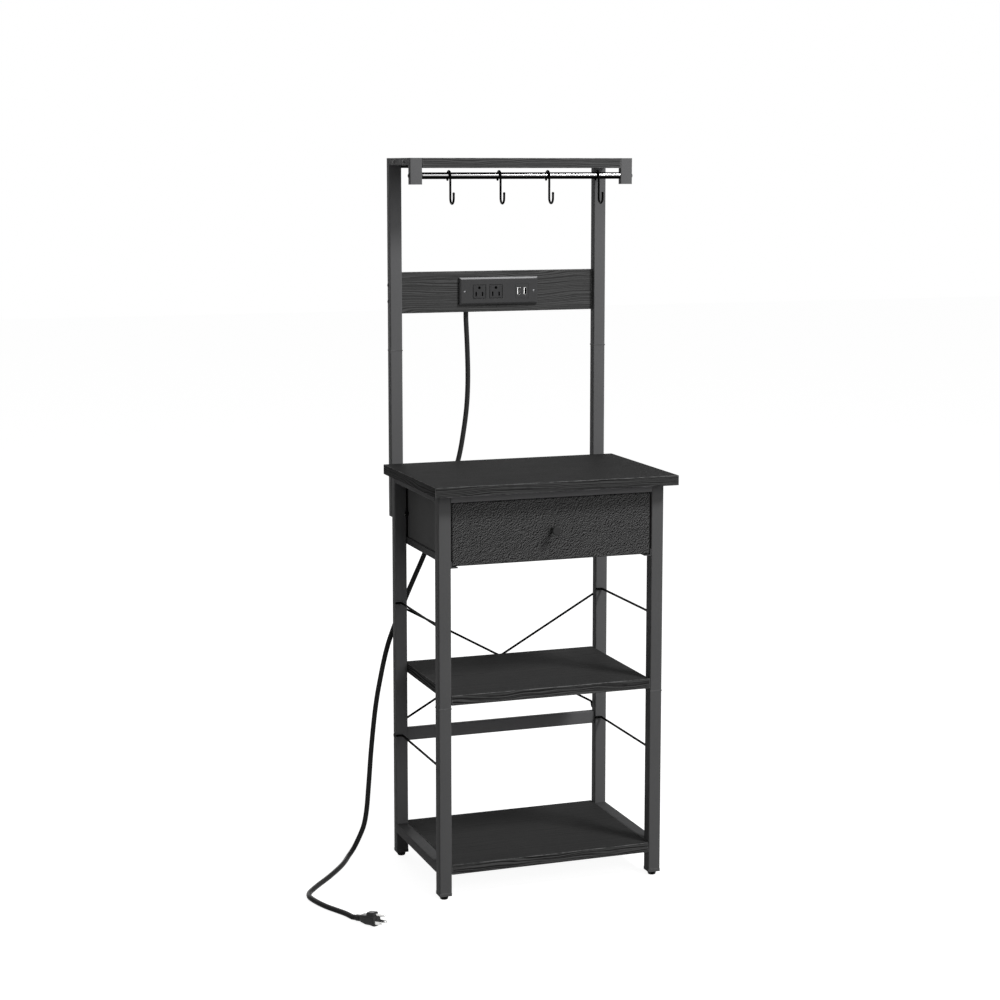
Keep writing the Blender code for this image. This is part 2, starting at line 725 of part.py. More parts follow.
def hook_points():
    """Give an S-hook's centre line about the rod's axis, from its rear tip to its front tip."""
    loop = ROD_RADIUS + HOOK_CLEARANCE + HOOK_WIRE_RADIUS
    bowl_y = -loop - HOOK_BOTTOM_RADIUS
    bowl_z = HOOK_BOTTOM_RADIUS - HOOK_BOTTOM_DROP
    return [
        (0.0, loop, -HOOK_REAR_DROP),
        *arc_points(0.0, 0.0, loop, 0.0, math.pi, LOOP_STEPS),
        *arc_points(bowl_y, bowl_z, HOOK_BOTTOM_RADIUS, 0.0, -math.pi, LOOP_STEPS),
        (0.0, bowl_y - HOOK_BOTTOM_RADIUS, -HOOK_TIP_DROP),
    ]


def add_rod_and_hooks(shop):
    """The rod between the drop brackets and the S-hooks that swing on it."""
    length = 2 * SHELF_HALF
    shop.round_bar(
        "hanging_rod", ROD_RADIUS, length, ROD_SIDES, ROD_STEEL, (0.0, ROD_Y, ROD_Z), along="X",
    )
    points = hook_points()
    for number, share in enumerate(HOOK_PLACE_SHARES, start=1):
        shop.wire(
            f"s_hook_{number}", points, HOOK_WIRE_RADIUS, WIRE, (share * length, ROD_Y, ROD_Z),
        )


def add_outlet_board(shop):
    """The board between the hutch posts, cut out for the housing's neck."""
    board = shop.block(
        "outlet_board",
        (-SHELF_HALF, OUTLET_BOARD_FRONT, OUTLET_BOARD_BOTTOM),
        (SHELF_HALF, HUTCH_BACK, OUTLET_BOARD_TOP),
        BOARD, BOARD_EDGE,
    )
    half_width = HOUSING_NECK_WIDTH / 2 + GAP
    half_height = HOUSING_NECK_HEIGHT / 2 + GAP
    cut_out = shop.block(
        "outlet_board_cut_out",
        (-half_width, OUTLET_BOARD_FRONT - CUT_OVERRUN, PLATE_Z - half_height),
        (half_width, HUTCH_BACK + CUT_OVERRUN, PLATE_Z + half_height),
        None,
    )
    combine(board, cut_out, "DIFFERENCE")


def add_housing(shop):
    """The wiring housing behind the board, its neck reaching through the cut-out."""
    half_width = HOUSING_WIDTH / 2
    housing = shop.block(
        "outlet_housing",
        (-half_width, HOUSING_FRONT, HOUSING_BOTTOM),
        (half_width, HOUSING_BACK, HOUSING_BOTTOM + HOUSING_HEIGHT),
        PLASTIC, HOUSING_EDGE,
    )
    neck = shop.block(
        "outlet_housing_neck",
        (-HOUSING_NECK_WIDTH / 2, OUTLET_BOARD_FRONT, PLATE_Z - HOUSING_NECK_HEIGHT / 2),
        (
            HOUSING_NECK_WIDTH / 2,
            HOUSING_FRONT + CUT_OVERRUN,
            PLATE_Z + HOUSING_NECK_HEIGHT / 2,
        ),
        None,
    )
    combine(housing, neck, "UNION")


def add_bezel(shop):
    """The bezel on the board's face, with a square window for each socket."""
    bezel = shop.block(
        "outlet_bezel",
        (-PLATE_WIDTH / 2, PLATE_FRONT, PLATE_Z - PLATE_HEIGHT / 2),
        (PLATE_WIDTH / 2, PLATE_BACK, PLATE_Z + PLATE_HEIGHT / 2),
        PLASTIC, PLATE_RIM,
    )
    window_half = SOCKET_SIDE / 2 + GAP
    for number, offset in enumerate((*SOCKET_OFFSETS, USB_OFFSET), start=1):
        window = shop.block(
            f"outlet_bezel_window_{number}",
            (offset - window_half, PLATE_FRONT - CUT_OVERRUN, SOCKET_Z - window_half),
            (offset + window_half, PLATE_BACK + CUT_OVERRUN, SOCKET_Z + window_half),
            None,
        )
        combine(bezel, window, "DIFFERENCE")


def socket_block(shop, name, offset):
    """Add one square insert that fills a window of the bezel."""
    half = SOCKET_SIDE / 2
    return shop.block(
        name,
        (offset - half, PLATE_FRONT, SOCKET_Z - half), (offset + half, PLATE_BACK, SOCKET_Z + half),
        SOCKET_PLASTIC, SOCKET_EDGE, "Y",
    )


def add_receptacle(shop, number, offset):
    """One grounded receptacle: two blade slots and the round hole above them."""
    name = f"receptacle_{number}"
    insert = socket_block(shop, name, offset)
    slot_z = SOCKET_Z - BLADE_SLOT_DROP
    slot_back = PLATE_FRONT + SLOT_DEPTH
    for side in (-1, 1):
        x = offset + side * BLADE_PITCH / 2
        slot = shop.block(
            f"{name}_slot_{side_name(side)}",
            (x - BLADE_SLOT_WIDTH / 2, PLATE_FRONT - CUT_OVERRUN, slot_z - BLADE_SLOT_HEIGHT / 2),
            (x + BLADE_SLOT_WIDTH / 2, slot_back, slot_z + BLADE_SLOT_HEIGHT / 2),
            None,
        )
        combine(insert, slot, "DIFFERENCE")
    depth = SLOT_DEPTH + CUT_OVERRUN
    hole = shop.round_bar(
        f"{name}_ground_hole", GROUND_HOLE_RADIUS, depth, HOLE_SIDES, None,
        (offset, slot_back - depth / 2, SOCKET_Z + GROUND_HOLE_RISE), along="Y",
    )
    combine(insert, hole, "DIFFERENCE")


def add_usb_module(shop):
    """The charging insert: two upright ports, each round a contact tongue."""
    insert = socket_block(shop, "usb_module", USB_OFFSET)
    port_back = PLATE_FRONT + SLOT_DEPTH
    for side in (-1, 1):
        x = USB_OFFSET + side * USB_PITCH / 2
        name = f"usb_port_{side_name(side)}"
        port = shop.block(
            name,
            (x - USB_PORT_WIDTH / 2, PLATE_FRONT - CUT_OVERRUN, SOCKET_Z - USB_PORT_HEIGHT / 2),
            (x + USB_PORT_WIDTH / 2, port_back, SOCKET_Z + USB_PORT_HEIGHT / 2),
            None,
        )
        tongue = shop.block(
            f"{name}_tongue",
            (
                x - USB_TONGUE_THICKNESS / 2,
                PLATE_FRONT + USB_TONGUE_INSET,
                SOCKET_Z - USB_TONGUE_HEIGHT / 2,
            ),
            (
                x + USB_TONGUE_THICKNESS / 2,
                port_back + CUT_OVERRUN,
                SOCKET_Z + USB_TONGUE_HEIGHT / 2,
            ),
            None,
        )
        combine(port, tongue, "DIFFERENCE")
        combine(insert, port, "DIFFERENCE")


def add_gland(shop):
    """The tapered strain relief that the cord leaves the housing through."""
    profile = [
        (0.0, 0.0),
        (GLAND_TOP_RADIUS, 0.0),
        (GLAND_TOP_RADIUS, -GLAND_COLLAR),
        (GLAND_NECK_RADIUS, -GLAND_COLLAR),
        (GLAND_TIP_RADIUS, -GLAND_LENGTH),
        (0.0, -GLAND_LENGTH),
    ]
    shop.turned("cord_gland", profile, RUBBER, (GLAND_OFFSET, GLAND_Y, HOUSING_BOTTOM - GAP))


def plug_direction():
    """Give the unit vector from the cord's end to the plug's blades."""
    level = math.cos(PLUG_PITCH)
    return Vector((
        level * math.cos(PLUG_HEADING), level * math.sin(PLUG_HEADING), math.sin(PLUG_PITCH),
    ))


def smooth_samples(points):
    """Read closely spaced points from a smooth curve through the given ones."""
    padded = [2 * points[0] - points[1], *points, 2 * points[-1] - points[-2]]
    samples = []
    for four in zip(padded, padded[1:], padded[2:], padded[3:]):
        knots = [0.0]
        for one, two in zip(four, four[1:]):
            knots.append(knots[-1] + math.sqrt((two - one).length))
        for step in range(SAMPLES_PER_SPAN):
            share = step / SAMPLES_PER_SPAN
            samples.append(curve_point(four, knots, knots[1] + share * (knots[2] - knots[1])))
    samples.append(points[-1])
    return samples


def curve_point(four, knots, here):
    """Give the place, at one knot value, of the centripetal curve through four points."""

    def blend(one, two, low, high):
        return one + (two - one) * ((here - knots[low]) / (knots[high] - knots[low]))

    near = blend(four[0], four[1], 0, 1)
    middle = blend(four[1], four[2], 1, 2)
    far = blend(four[2], four[3], 2, 3)
    return blend(blend(near, middle, 0, 2), blend(middle, far, 1, 3), 1, 2)


def even_points(samples, step):
    """Walk along the samples and keep points an even step apart, ends included."""
    total = sum((b - a).length for a, b in zip(samples, samples[1:]))
    count = round(total / step)
    kept = [samples[0]]
    walked = 0.0
    for one, two in zip(samples, samples[1:]):
        length = (two - one).length
        while len(kept) < count and walked + length >= len(kept) * total / count:
            share = (len(kept) * total / count - walked) / length
            kept.append(one.lerp(two, share))
        walked += length
    return [*kept, samples[-1]]


def add_cord(shop):
    """The mains cord, from the strain relief down behind the rack and along the floor."""
    exit_point = Vector((GLAND_OFFSET, GLAND_Y, HOUSING_BOTTOM - GAP - GLAND_LENGTH - GAP))
    straight = 2 * CORD_RADIUS
    tail = Vector(CORD_TAIL)
    route = [
        exit_point,
        exit_point - Vector((0.0, 0.0, straight)),
        *(Vector(point) for point in CORD_ROUTE),
        tail - plug_direction() * straight,
        tail,
    ]
    samples = smooth_samples(route)
    between = samples[SAMPLES_PER_SPAN:len(samples) - SAMPLES_PER_SPAN]
    points = [exit_point, *even_points(between, CORD_STEP), tail]
    shop.wire("cord", points, CORD_RADIUS, RUBBER)


def tapered_block(shop, name, rear, face, finish):
    """Add a block whose ends are given as height, width, low Y and high Y."""
    shape = bmesh.new()
    bmesh.ops.create_cube(shape, size=1.0)
    for vert in shape.verts:
        height, width, low, high = face if vert.co.z > 0.0 else rear
        vert.co.x *= width
        vert.co.y = high if vert.co.y > 0.0 else low
        vert.co.z = height
    bmesh.ops.bevel(
        shape, geom=shape.edges[:], offset=PLUG_EDGE, segments=CORNER_SEGMENTS, profile=0.5,
        affect="EDGES",
    )
    return shop.place(name, mesh_from(shape, name), finish, (0.0, 0.0, 0.0))


def add_plug(shop):
    """The grounded plug where the cord ends, lying with its round pin above the blades."""
    face = PLUG_RELIEF_LENGTH + PLUG_BODY_LENGTH
    relief = shop.turned(
        "plug_relief",
        [
            (0.0, PLUG_RELIEF_LENGTH + PLUG_EDGE),
            (PLUG_RELIEF_RADIUS, PLUG_RELIEF_LENGTH + PLUG_EDGE),
            (PLUG_RELIEF_TIP_RADIUS, 0.0),
            (0.0, 0.0),
        ],
        None, (0.0, 0.0, 0.0),
    )
    grip = tapered_block(
        shop, "plug_grip",
        (face - PLUG_GRIP_LENGTH, PLUG_GRIP_WIDTH, 0.0, PLUG_GRIP_RISE),
        (face, PLUG_GRIP_WIDTH, 0.0, PLUG_GRIP_RISE),
        None,
    )
    plug = tapered_block(
        shop, "plug",
        (PLUG_RELIEF_LENGTH, PLUG_REAR_WIDTH, -PLUG_REAR_DROP, PLUG_REAR_RISE),
        (face, PLUG_FACE_WIDTH, -PLUG_FACE_DROP, PLUG_FACE_RISE),
        RUBBER,
    )
    plug.location = Vector(CORD_TAIL) + plug_direction() * GAP
    plug.rotation_euler = plug_direction().to_track_quat("Z", "Y").to_euler()
    joined = [grip, relief]
    for side in (-1, 1):
        x = side * BLADE_PITCH / 2
        joined.append(shop.block(
            f"plug_blade_{side_name(side)}",
            (
                x - PLUG_BLADE_THICKNESS / 2,
                -PLUG_BLADE_DROP - PLUG_BLADE_WIDTH / 2,
                face - CUT_OVERRUN,
            ),
            (
                x + PLUG_BLADE_THICKNESS / 2,
                -PLUG_BLADE_DROP + PLUG_BLADE_WIDTH / 2,
                face + PLUG_BLADE_LENGTH,
            ),
            None,
        ))
    length = PLUG_PIN_LENGTH + CUT_OVERRUN
    joined.append(shop.round_bar(
        "plug_pin", PLUG_PIN_RADIUS, length, HOLE_SIDES, None,
        (0.0, PLUG_PIN_RISE, face + PLUG_PIN_LENGTH - length / 2),
    ))
    for item in joined:
        item.parent = plug
        combine(plug, item, "UNION")


def main():
    """Build the whole rack."""
    clear_scene()
    shop = Workshop()
    add_posts(shop)
    add_rails(shop)
    add_boards(shop)
    add_guard_wires(shop)
    add_brace_wires(shop)
    add_runners(shop)
    add_drawer(shop)
    add_hutch(shop)
    add_rod_and_hooks(shop)
    add_outlet_board(shop)
    add_housing(shop)
    add_bezel(shop)
    for number, offset in enumerate(SOCKET_OFFSETS, start=1):
        add_receptacle(shop, number, offset)
    add_usb_module(shop)
    add_gland(shop)
    add_cord(shop)
    add_plug(shop)


main()
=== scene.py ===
"""Bakers rack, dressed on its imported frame: powder-coated steel, laminate boards, a covered
drawer, a hook rod and an outlet board with its cord and plug.

Metres, +Z up, the rack facing -Y, as in the frame. Every piece is made where it stands, with its
object at the origin, so Object coordinates are places on the rack at rest.
"""

import json
import logging
import math
from collections.abc import Callable, Iterable, Sequence
from dataclasses import dataclass
from enum import Enum

import bmesh
import bpy
from mathutils import Matrix, Vector

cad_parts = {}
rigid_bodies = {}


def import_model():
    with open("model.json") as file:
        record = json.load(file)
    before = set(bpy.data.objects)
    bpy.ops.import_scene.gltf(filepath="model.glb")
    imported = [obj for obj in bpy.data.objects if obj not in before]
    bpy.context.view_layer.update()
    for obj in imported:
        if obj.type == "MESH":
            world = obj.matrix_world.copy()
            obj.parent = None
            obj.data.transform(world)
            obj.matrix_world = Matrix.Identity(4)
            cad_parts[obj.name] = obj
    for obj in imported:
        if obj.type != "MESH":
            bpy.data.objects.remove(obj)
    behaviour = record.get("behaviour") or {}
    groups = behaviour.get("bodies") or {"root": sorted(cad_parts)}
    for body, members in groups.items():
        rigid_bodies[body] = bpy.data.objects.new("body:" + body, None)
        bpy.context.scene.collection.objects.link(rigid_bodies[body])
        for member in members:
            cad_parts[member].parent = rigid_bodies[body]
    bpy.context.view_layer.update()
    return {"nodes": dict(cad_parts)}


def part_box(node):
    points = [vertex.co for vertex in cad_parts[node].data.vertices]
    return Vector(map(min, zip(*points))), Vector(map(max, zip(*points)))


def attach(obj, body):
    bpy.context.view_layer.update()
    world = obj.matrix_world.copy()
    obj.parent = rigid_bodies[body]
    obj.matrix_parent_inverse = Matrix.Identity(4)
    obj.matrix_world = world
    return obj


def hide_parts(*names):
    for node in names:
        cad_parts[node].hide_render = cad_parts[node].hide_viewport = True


Point = tuple[float, float, float]
Colour = tuple[float, float, float]
Box = tuple[Vector, Vector]
Setting = float | Sequence[float] | bpy.types.NodeSocket

LOG = logging.getLogger("bakers_rack")
SMOOTH_ANGLE = math.radians(50.0)
WELD_DISTANCE = 0.00002
SIDES = (("left", -1), ("right", 1))


class Body(str, Enum):
    """The frame's bodies."""

    RACK = "rack"
    DRAWER = "drawer"
    HOOK_1 = "hook_1"
    HOOK_2 = "hook_2"
    HOOK_3 = "hook_3"
    HOOK_4 = "hook_4"


class Slot(str, Enum):
    """The record's material slots."""

    FRAME_STEEL = "frame_steel"
    WIRE_STEEL = "wire_steel"
    BOARD = "board"
    DRAWER_FRONT = "drawer_front"
    DRAWER_PANEL = "drawer_panel"
    ROD_STEEL = "rod_steel"
    OUTLET_PLASTIC = "outlet_plastic"
    SOCKET_PLASTIC = "socket_plastic"
    RUBBER = "rubber"
    PLUG_RUBBER = "plug_rubber"


class Axis(Enum):
    """The way a turned piece points."""

    LEFT = Vector((-1.0, 0.0, 0.0))
    RIGHT = Vector((1.0, 0.0, 0.0))
    FRONT = Vector((0.0, -1.0, 0.0))
    BACK = Vector((0.0, 1.0, 0.0))
    UP = Vector((0.0, 0.0, 1.0))
    DOWN = Vector((0.0, 0.0, -1.0))


# Shader node helpers and the shared groups


@dataclass(frozen=True)
class Wiring:
    """A short way of adding and joining the nodes of one tree."""

    tree: bpy.types.NodeTree

    def add(self, kind: str, **fields: object) -> bpy.types.Node:
        """Add a node and set its fields.

        Args:
            kind: The node's type name.
            fields: Its properties, by name.

        Returns:
            The node.
        """
        node = self.tree.nodes.new(kind)
        for name, value in fields.items():
            setattr(node, name, value)
        return node

    def feed(self, socket: bpy.types.NodeSocket, value: Setting) -> None:
        """Link a socket to another, or set its value.

        Args:
            socket: The input.
            value: An output socket, a number, or a colour or vector.
        """
        if isinstance(value, bpy.types.NodeSocket):
            self.tree.links.new(value, socket)
        elif isinstance(value, (int, float)):
            socket.default_value = value
        else:
            size = len(socket.default_value)
            socket.default_value = (*value, 1.0)[:size]

    def math(self, operation: str, *values: Setting, clamp: bool = False) -> bpy.types.NodeSocket:
        """Add a Math node.

        Args:
            operation: Its operation.
            values: Its inputs in order.
            clamp: Whether it keeps its result from 0 to 1.

        Returns:
            Its value.
        """
        node = self.add("ShaderNodeMath", operation=operation, use_clamp=clamp)
        for socket, value in zip(node.inputs, values):
            self.feed(socket, value)
        return node.outputs[0]

    def vector_math(self, operation: str, *values: Setting) -> bpy.types.NodeSocket:
        """Add a Vector Math node.

        Args:
            operation: Its operation.
            values: Its inputs in order.

        Returns:
            Its vector.
        """
        node = self.add("ShaderNodeVectorMath", operation=operation)
        for socket, value in zip(node.inputs, values):
            self.feed(socket, value)
        return node.outputs[0]

    def mix(self, share: Setting, one: Setting, two: Setting) -> bpy.types.NodeSocket:
        """Mix two colours.

        Args:
            share: How much of the second.
            one: The first colour.
            two: The second colour.

        Returns:
            The mixed colour.
        """
        node = self.add("ShaderNodeMix", data_type="RGBA")
        self.feed(node.inputs[0], share)
        self.feed(node.inputs[6], one)
        self.feed(node.inputs[7], two)
        return node.outputs[2]

    def blend(self, share: Setting, one: Setting, two: Setting) -> bpy.types.NodeSocket:
        """Mix two numbers.

        Args:
            share: How much of the second.
            one: The first number.
            two: The second number.

        Returns:
            The mixed number.
        """
        node = self.add("ShaderNodeMix", data_type="FLOAT")
        self.feed(node.inputs[0], share)
        self.feed(node.inputs[2], one)
        self.feed(node.inputs[3], two)
        return node.outputs[0]

    def span(
        self, value: Setting, low: Setting, high: Setting, to_low: Setting, to_high: Setting,
    ) -> bpy.types.NodeSocket:
        """Map one range of numbers smoothly onto another.

        Args:
            value: The number.
            low: The range's low end.
            high: The range's high end.
            to_low: What the low end becomes.
            to_high: What the high end becomes.

        Returns:
            The mapped number.
        """
        node = self.add("ShaderNodeMapRange", interpolation_type="SMOOTHSTEP")
        for socket, setting in zip(node.inputs, (value, low, high, to_low, to_high)):
            self.feed(socket, setting)
        return node.outputs[0]

    def noise(
        self, place: Setting, scale: Setting, detail: float = 2.0, rough: float = 0.5,
    ) -> bpy.types.NodeSocket:
        """Add a noise texture.

        Args:
            place: Where it is read.
            scale: Its scale.
            detail: How many finer layers it has.
            rough: How strong these are.

        Returns:
            Its value.
        """
        node = self.add("ShaderNodeTexNoise")
        self.feed(node.inputs["Vector"], place)
        self.feed(node.inputs["Scale"], scale)
        self.feed(node.inputs["Detail"], detail)
        self.feed(node.inputs["Roughness"], rough)
        return node.outputs[0]

    def split(self, vector: Setting) -> tuple[bpy.types.NodeSocket, ...]:
        """Give a vector's X, Y and Z."""
        node = self.add("ShaderNodeSeparateXYZ")
        self.feed(node.inputs[0], vector)
        return tuple(node.outputs)

    def join(self, x: Setting, y: Setting, z: Setting) -> bpy.types.NodeSocket:
        """Make a vector from X, Y and Z."""
        node = self.add("ShaderNodeCombineXYZ")
        for socket, value in zip(node.inputs, (x, y, z)):
            self.feed(socket, value)
        return node.outputs[0]

    def group(self, tree: bpy.types.NodeTree, **values: Setting) -> bpy.types.NodeOutputs:
        """Place a shared group.

        Args:
            tree: The group.
            values: Its inputs, with underscores for spaces.

        Returns:
            Its outputs.
        """
        node = self.add("ShaderNodeGroup", node_tree=tree)
        for name, value in values.items():
            self.feed(node.inputs[name.replace("_", " ")], value)
        return node.outputs


@dataclass(frozen=True)
class SharedGroup:
    """A shader node group that is built once and placed in many materials."""

    name: str
    inputs: tuple[tuple[str, str], ...]
    outputs: tuple[tuple[str, str], ...]
    build: Callable[[Wiring, bpy.types.NodeOutputs, bpy.types.NodeInputs], None]

    def tree(self) -> bpy.types.NodeTree:
        """Give the group's tree, made on its first use.

        Returns:
            The tree.
        """
        made = bpy.data.node_groups.get(self.name)
        if made is not None:
            return made
        made = bpy.data.node_groups.new(self.name, "ShaderNodeTree")
        for in_out, sockets in (("INPUT", self.inputs), ("OUTPUT", self.outputs)):
            for name, kind in sockets:
                made.interface.new_socket(
                    name=name, in_out=in_out, socket_type=f"NodeSocket{kind}",
                )
        wiring = Wiring(made)
        entry = wiring.add("NodeGroupInput")
        leave = wiring.add("NodeGroupOutput")
        self.build(wiring, entry.outputs, leave.inputs)
        return made


def build_coat(
    wiring: Wiring, given: bpy.types.NodeOutputs, result: bpy.types.NodeInputs,
) -> None:
    """Fill the coat group: a fine orange-peel skin with soft clouds of tone.

    Args:
        wiring: The group's wiring.
        given: The group's inputs.
        result: The group's outputs.
    """
    clouds = wiring.noise(given["Place"], 9.0, 2.0)
    skin = wiring.noise(given["Place"], given["Scale"], 2.0, 0.6)
    speck = wiring.noise(given["Place"], wiring.math("MULTIPLY", given["Scale"], 0.37), 1.0)
    spread = given["Spread"]
    cloud_tint = wiring.math("MULTIPLY", wiring.math("SUBTRACT", clouds, 0.5), spread)
    skin_tint = wiring.math("MULTIPLY", wiring.math("SUBTRACT", skin, 0.5), spread)
    total = wiring.math("ADD", cloud_tint, wiring.math("MULTIPLY", skin_tint, 1.4))
    wiring.feed(result["Tint"], wiring.math("ADD", total, 1.0))
    wiring.feed(result["Height"], wiring.blend(0.35, skin, speck))


COAT = SharedGroup(
    "coat",
    (("Place", "Vector"), ("Scale", "Float"), ("Spread", "Float")),
    (("Tint", "Float"), ("Height", "Float")),
    build_coat,
)


def build_laminate(
    wiring: Wiring, given: bpy.types.NodeOutputs, result: bpy.types.NodeInputs,
) -> None:
    """Fill the laminate group: fine grain lines along a board, bent into slow arcs.

    Args:
        wiring: The group's wiring.
        given: The group's inputs.
        result: The group's outputs.
    """
    x, y, z = wiring.split(given["Place"])
    face_x = wiring.math("ABSOLUTE", wiring.split(given["Facing"])[0])
    on_end = wiring.math("GREATER_THAN", face_x, 0.7)
    along = wiring.blend(on_end, x, wiring.math("ADD", y, 3.0))
    depth = wiring.blend(on_end, y, x)
    across = wiring.math("ADD", wiring.math("MULTIPLY", depth, 0.93), z)
    slow = wiring.join(
        wiring.math("MULTIPLY", along, 5.0),
        wiring.math("MULTIPLY", across, 26.0),
        given["Board"],
    )
    warp = wiring.math("MULTIPLY", wiring.math("SUBTRACT", wiring.noise(slow, 1.0, 2.0), 0.5), 0.03)
    bent = wiring.math("ADD", across, warp)
    lines_at = wiring.join(wiring.math("MULTIPLY", along, 4.0), bent, given["Board"])
    stretched = wiring.vector_math("MULTIPLY", lines_at, (1.0, 520.0, 7.0))
    beside = wiring.vector_math("ADD", stretched, (0.0, 0.55, 0.0))
    lines = wiring.math(
        "SUBTRACT", wiring.noise(stretched, 1.0, 1.0), wiring.noise(beside, 1.0, 1.0),
    )
    pores_at = wiring.join(
        wiring.math("MULTIPLY", along, 60.0),
        wiring.math("MULTIPLY", bent, 1500.0),
        given["Board"],
    )
    pores = wiring.noise(pores_at, 1.0, 1.0)
    line_mask = wiring.span(lines, -0.13, 0.13, 0.0, 1.0)
    pore_mask = wiring.span(pores, 0.56, 0.72, 0.0, 1.0)
    grain = wiring.math("SUBTRACT", line_mask, wiring.math("MULTIPLY", pore_mask, 0.45), clamp=True)
    wiring.feed(result["Grain"], grain)


LAMINATE = SharedGroup(
    "laminate",
    (("Place", "Vector"), ("Facing", "Vector"), ("Board", "Float")),
    (("Grain", "Float"),),
    build_laminate,
)


def build_wrinkles(
    wiring: Wiring, given: bpy.types.NodeOutputs, result: bpy.types.NodeInputs,
) -> None:
    """Fill the wrinkles group: short slanted wrinkles, with a painted highlight above each and painted
    shade below it.

    Args:
        wiring: The group's wiring.
        given: The group's inputs.
        result: The group's outputs.
    """
    x, y, z = wiring.split(given["Place"])
    along = wiring.math("MULTIPLY", wiring.math("MULTIPLY_ADD", z, 0.75, x), 0.60)
    across = wiring.math("MULTIPLY_ADD", x, -0.75, z)
    # painted light and shade: each wrinkle is compared with the place just above it, towards the light
    above = wiring.math("ADD", across, wiring.math("DIVIDE", 0.55, given["Cells"]))
    here = wiring.noise(wiring.join(along, y, across), given["Cells"], 2.0, 0.55)
    higher = wiring.noise(wiring.join(along, y, above), given["Cells"], 2.0, 0.55)
    painted_relief_slope = wiring.math("SUBTRACT", here, higher)
    fine = wiring.noise(given["Place"], wiring.math("MULTIPLY", given["Cells"], 4.0), 2.0)
    wiring.feed(result["PaintedRelief"], wiring.span(painted_relief_slope, -0.05, 0.05, 0.0, 1.0))
    wiring.feed(result["Height"], wiring.math("MULTIPLY_ADD", fine, 0.12, here))


WRINKLES = SharedGroup(
    "wrinkles",
    (("Place", "Vector"), ("Cells", "Float")),
    (("PaintedRelief", "Float"), ("Height", "Float")),
    build_wrinkles,
)


def build_edge_highlight_group(
    wiring: Wiring, given: bpy.types.NodeOutputs, result: bpy.types.NodeInputs,
) -> None:
    """Fill the edge highlight group: a painted highlight in a broken band along the edges of a box.

    Args:
        wiring: The group's wiring.
        given: The group's inputs.
        result: The group's outputs.
    """
    below = wiring.split(wiring.vector_math("SUBTRACT", given["Place"], given["Low"]))
    above = wiring.split(wiring.vector_math("SUBTRACT", given["High"], given["Place"]))
    near = [wiring.math("MINIMUM", one, two) for one, two in zip(below, above)]
    least = wiring.math("MINIMUM", near[0], near[1])
    most = wiring.math("MAXIMUM", near[0], near[1])
    middle = wiring.math("MAXIMUM", least, wiring.math("MINIMUM", most, near[2]))
    ragged = wiring.noise(given["Place"], 85.0, 3.0, 0.65)
    reach = wiring.math("MULTIPLY", given["Width"], wiring.span(ragged, 0.3, 0.7, 0.25, 1.0))
    wiring.feed(result["Highlight"], wiring.span(middle, 0.0, reach, 1.0, 0.0))


EDGE_HIGHLIGHT_GROUP = SharedGroup(
    "painted_edge_highlight_group",
    (("Place", "Vector"), ("Low", "Vector"), ("High", "Vector"), ("Width", "Float")),
    (("Highlight", "Float"),),
    build_edge_highlight_group,
)


def build_handling(
    wiring: Wiring, given: bpy.types.NodeOutputs, result: bpy.types.NodeInputs,
) -> None:
    """Fill the handling group: uneven gloss from hands and wiping, and fine dust on tops.

    Args:
        wiring: The group's wiring.
        given: The group's inputs.
        result: The group's outputs.
    """
    smear = wiring.noise(given["Place"], 14.0, 3.0, 0.6)
    centred = wiring.math("SUBTRACT", smear, 0.5)
    change = wiring.math("MULTIPLY", centred, given["Smear"])
    wiring.feed(result["Roughness"], wiring.math("ADD", given["Roughness"], change, clamp=True))
    specks = wiring.span(wiring.noise(given["Place"], 520.0, 2.0, 0.7), 0.52, 0.7, 0.0, 1.0)
    upward = wiring.span(wiring.split(given["Facing"])[2], 0.6, 1.0, 0.0, 1.0)
    wiring.feed(result["Dust"], wiring.math("MULTIPLY", specks, upward))


HANDLING = SharedGroup(
    "handling",
    (("Place", "Vector"), ("Facing", "Vector"), ("Roughness", "Float"), ("Smear", "Float")),
    (("Roughness", "Float"), ("Dust", "Float")),
    build_handling,
)


# Finishes


@dataclass(frozen=True)
class Surface:
    """One piece's new material, with the places and the box that its finish is wired from."""

    wiring: Wiring
    shader: bpy.types.NodeInputs
    place: bpy.types.NodeSocket
    facing: bpy.types.NodeSocket
    box: Box
    seed: float

    def painted_edge_highlight(self, width: float) -> bpy.types.NodeSocket:
        """Give the painted highlight in a broken band along the piece's edges.

        Args:
            width: How wide it is at most, in metres.

        Returns:
            The mask.
        """
        low, high = self.box
        return self.wiring.group(
            EDGE_HIGHLIGHT_GROUP.tree(), Place=self.place, Low=low, High=high, Width=width,
        )["Highlight"]

    def handled(self, roughness: float, smear: float) -> bpy.types.NodeOutputs:
        """Give the uneven gloss and the dust.

        Args:
            roughness: The finish's own roughness.
            smear: How much hands and wiping change it.

        Returns:
            The handling group's outputs.
        """
        return self.wiring.group(
            HANDLING.tree(),
            Place=self.place, Facing=self.facing, Roughness=roughness, Smear=smear,
        )

    def dye(self, colour: Setting, tint: Setting) -> None:
        """Feed the shader a colour times a tint.

        Args:
            colour: The colour.
            tint: The number that it is multiplied by.
        """
        grey = self.wiring.join(tint, tint, tint)
        self.wiring.feed(
            self.shader["Base Color"], self.wiring.vector_math("MULTIPLY", colour, grey),
        )

    def gloss(self, roughness: Setting) -> None:
        """Feed the shader its roughness."""
        self.wiring.feed(self.shader["Roughness"], roughness)

    def bump(self, height: Setting, depth: float) -> None:
        """Feed a bump to the shader.

        Args:
            height: The height, 0 to 1.
            depth: How deep a height of 1 is, in metres.
        """
        node = self.wiring.add("ShaderNodeBump")
        self.wiring.feed(node.inputs["Distance"], depth)
        self.wiring.feed(node.inputs["Strength"], 1.0)
        self.wiring.feed(node.inputs["Height"], height)
        self.wiring.feed(self.shader["Normal"], node.outputs[0])


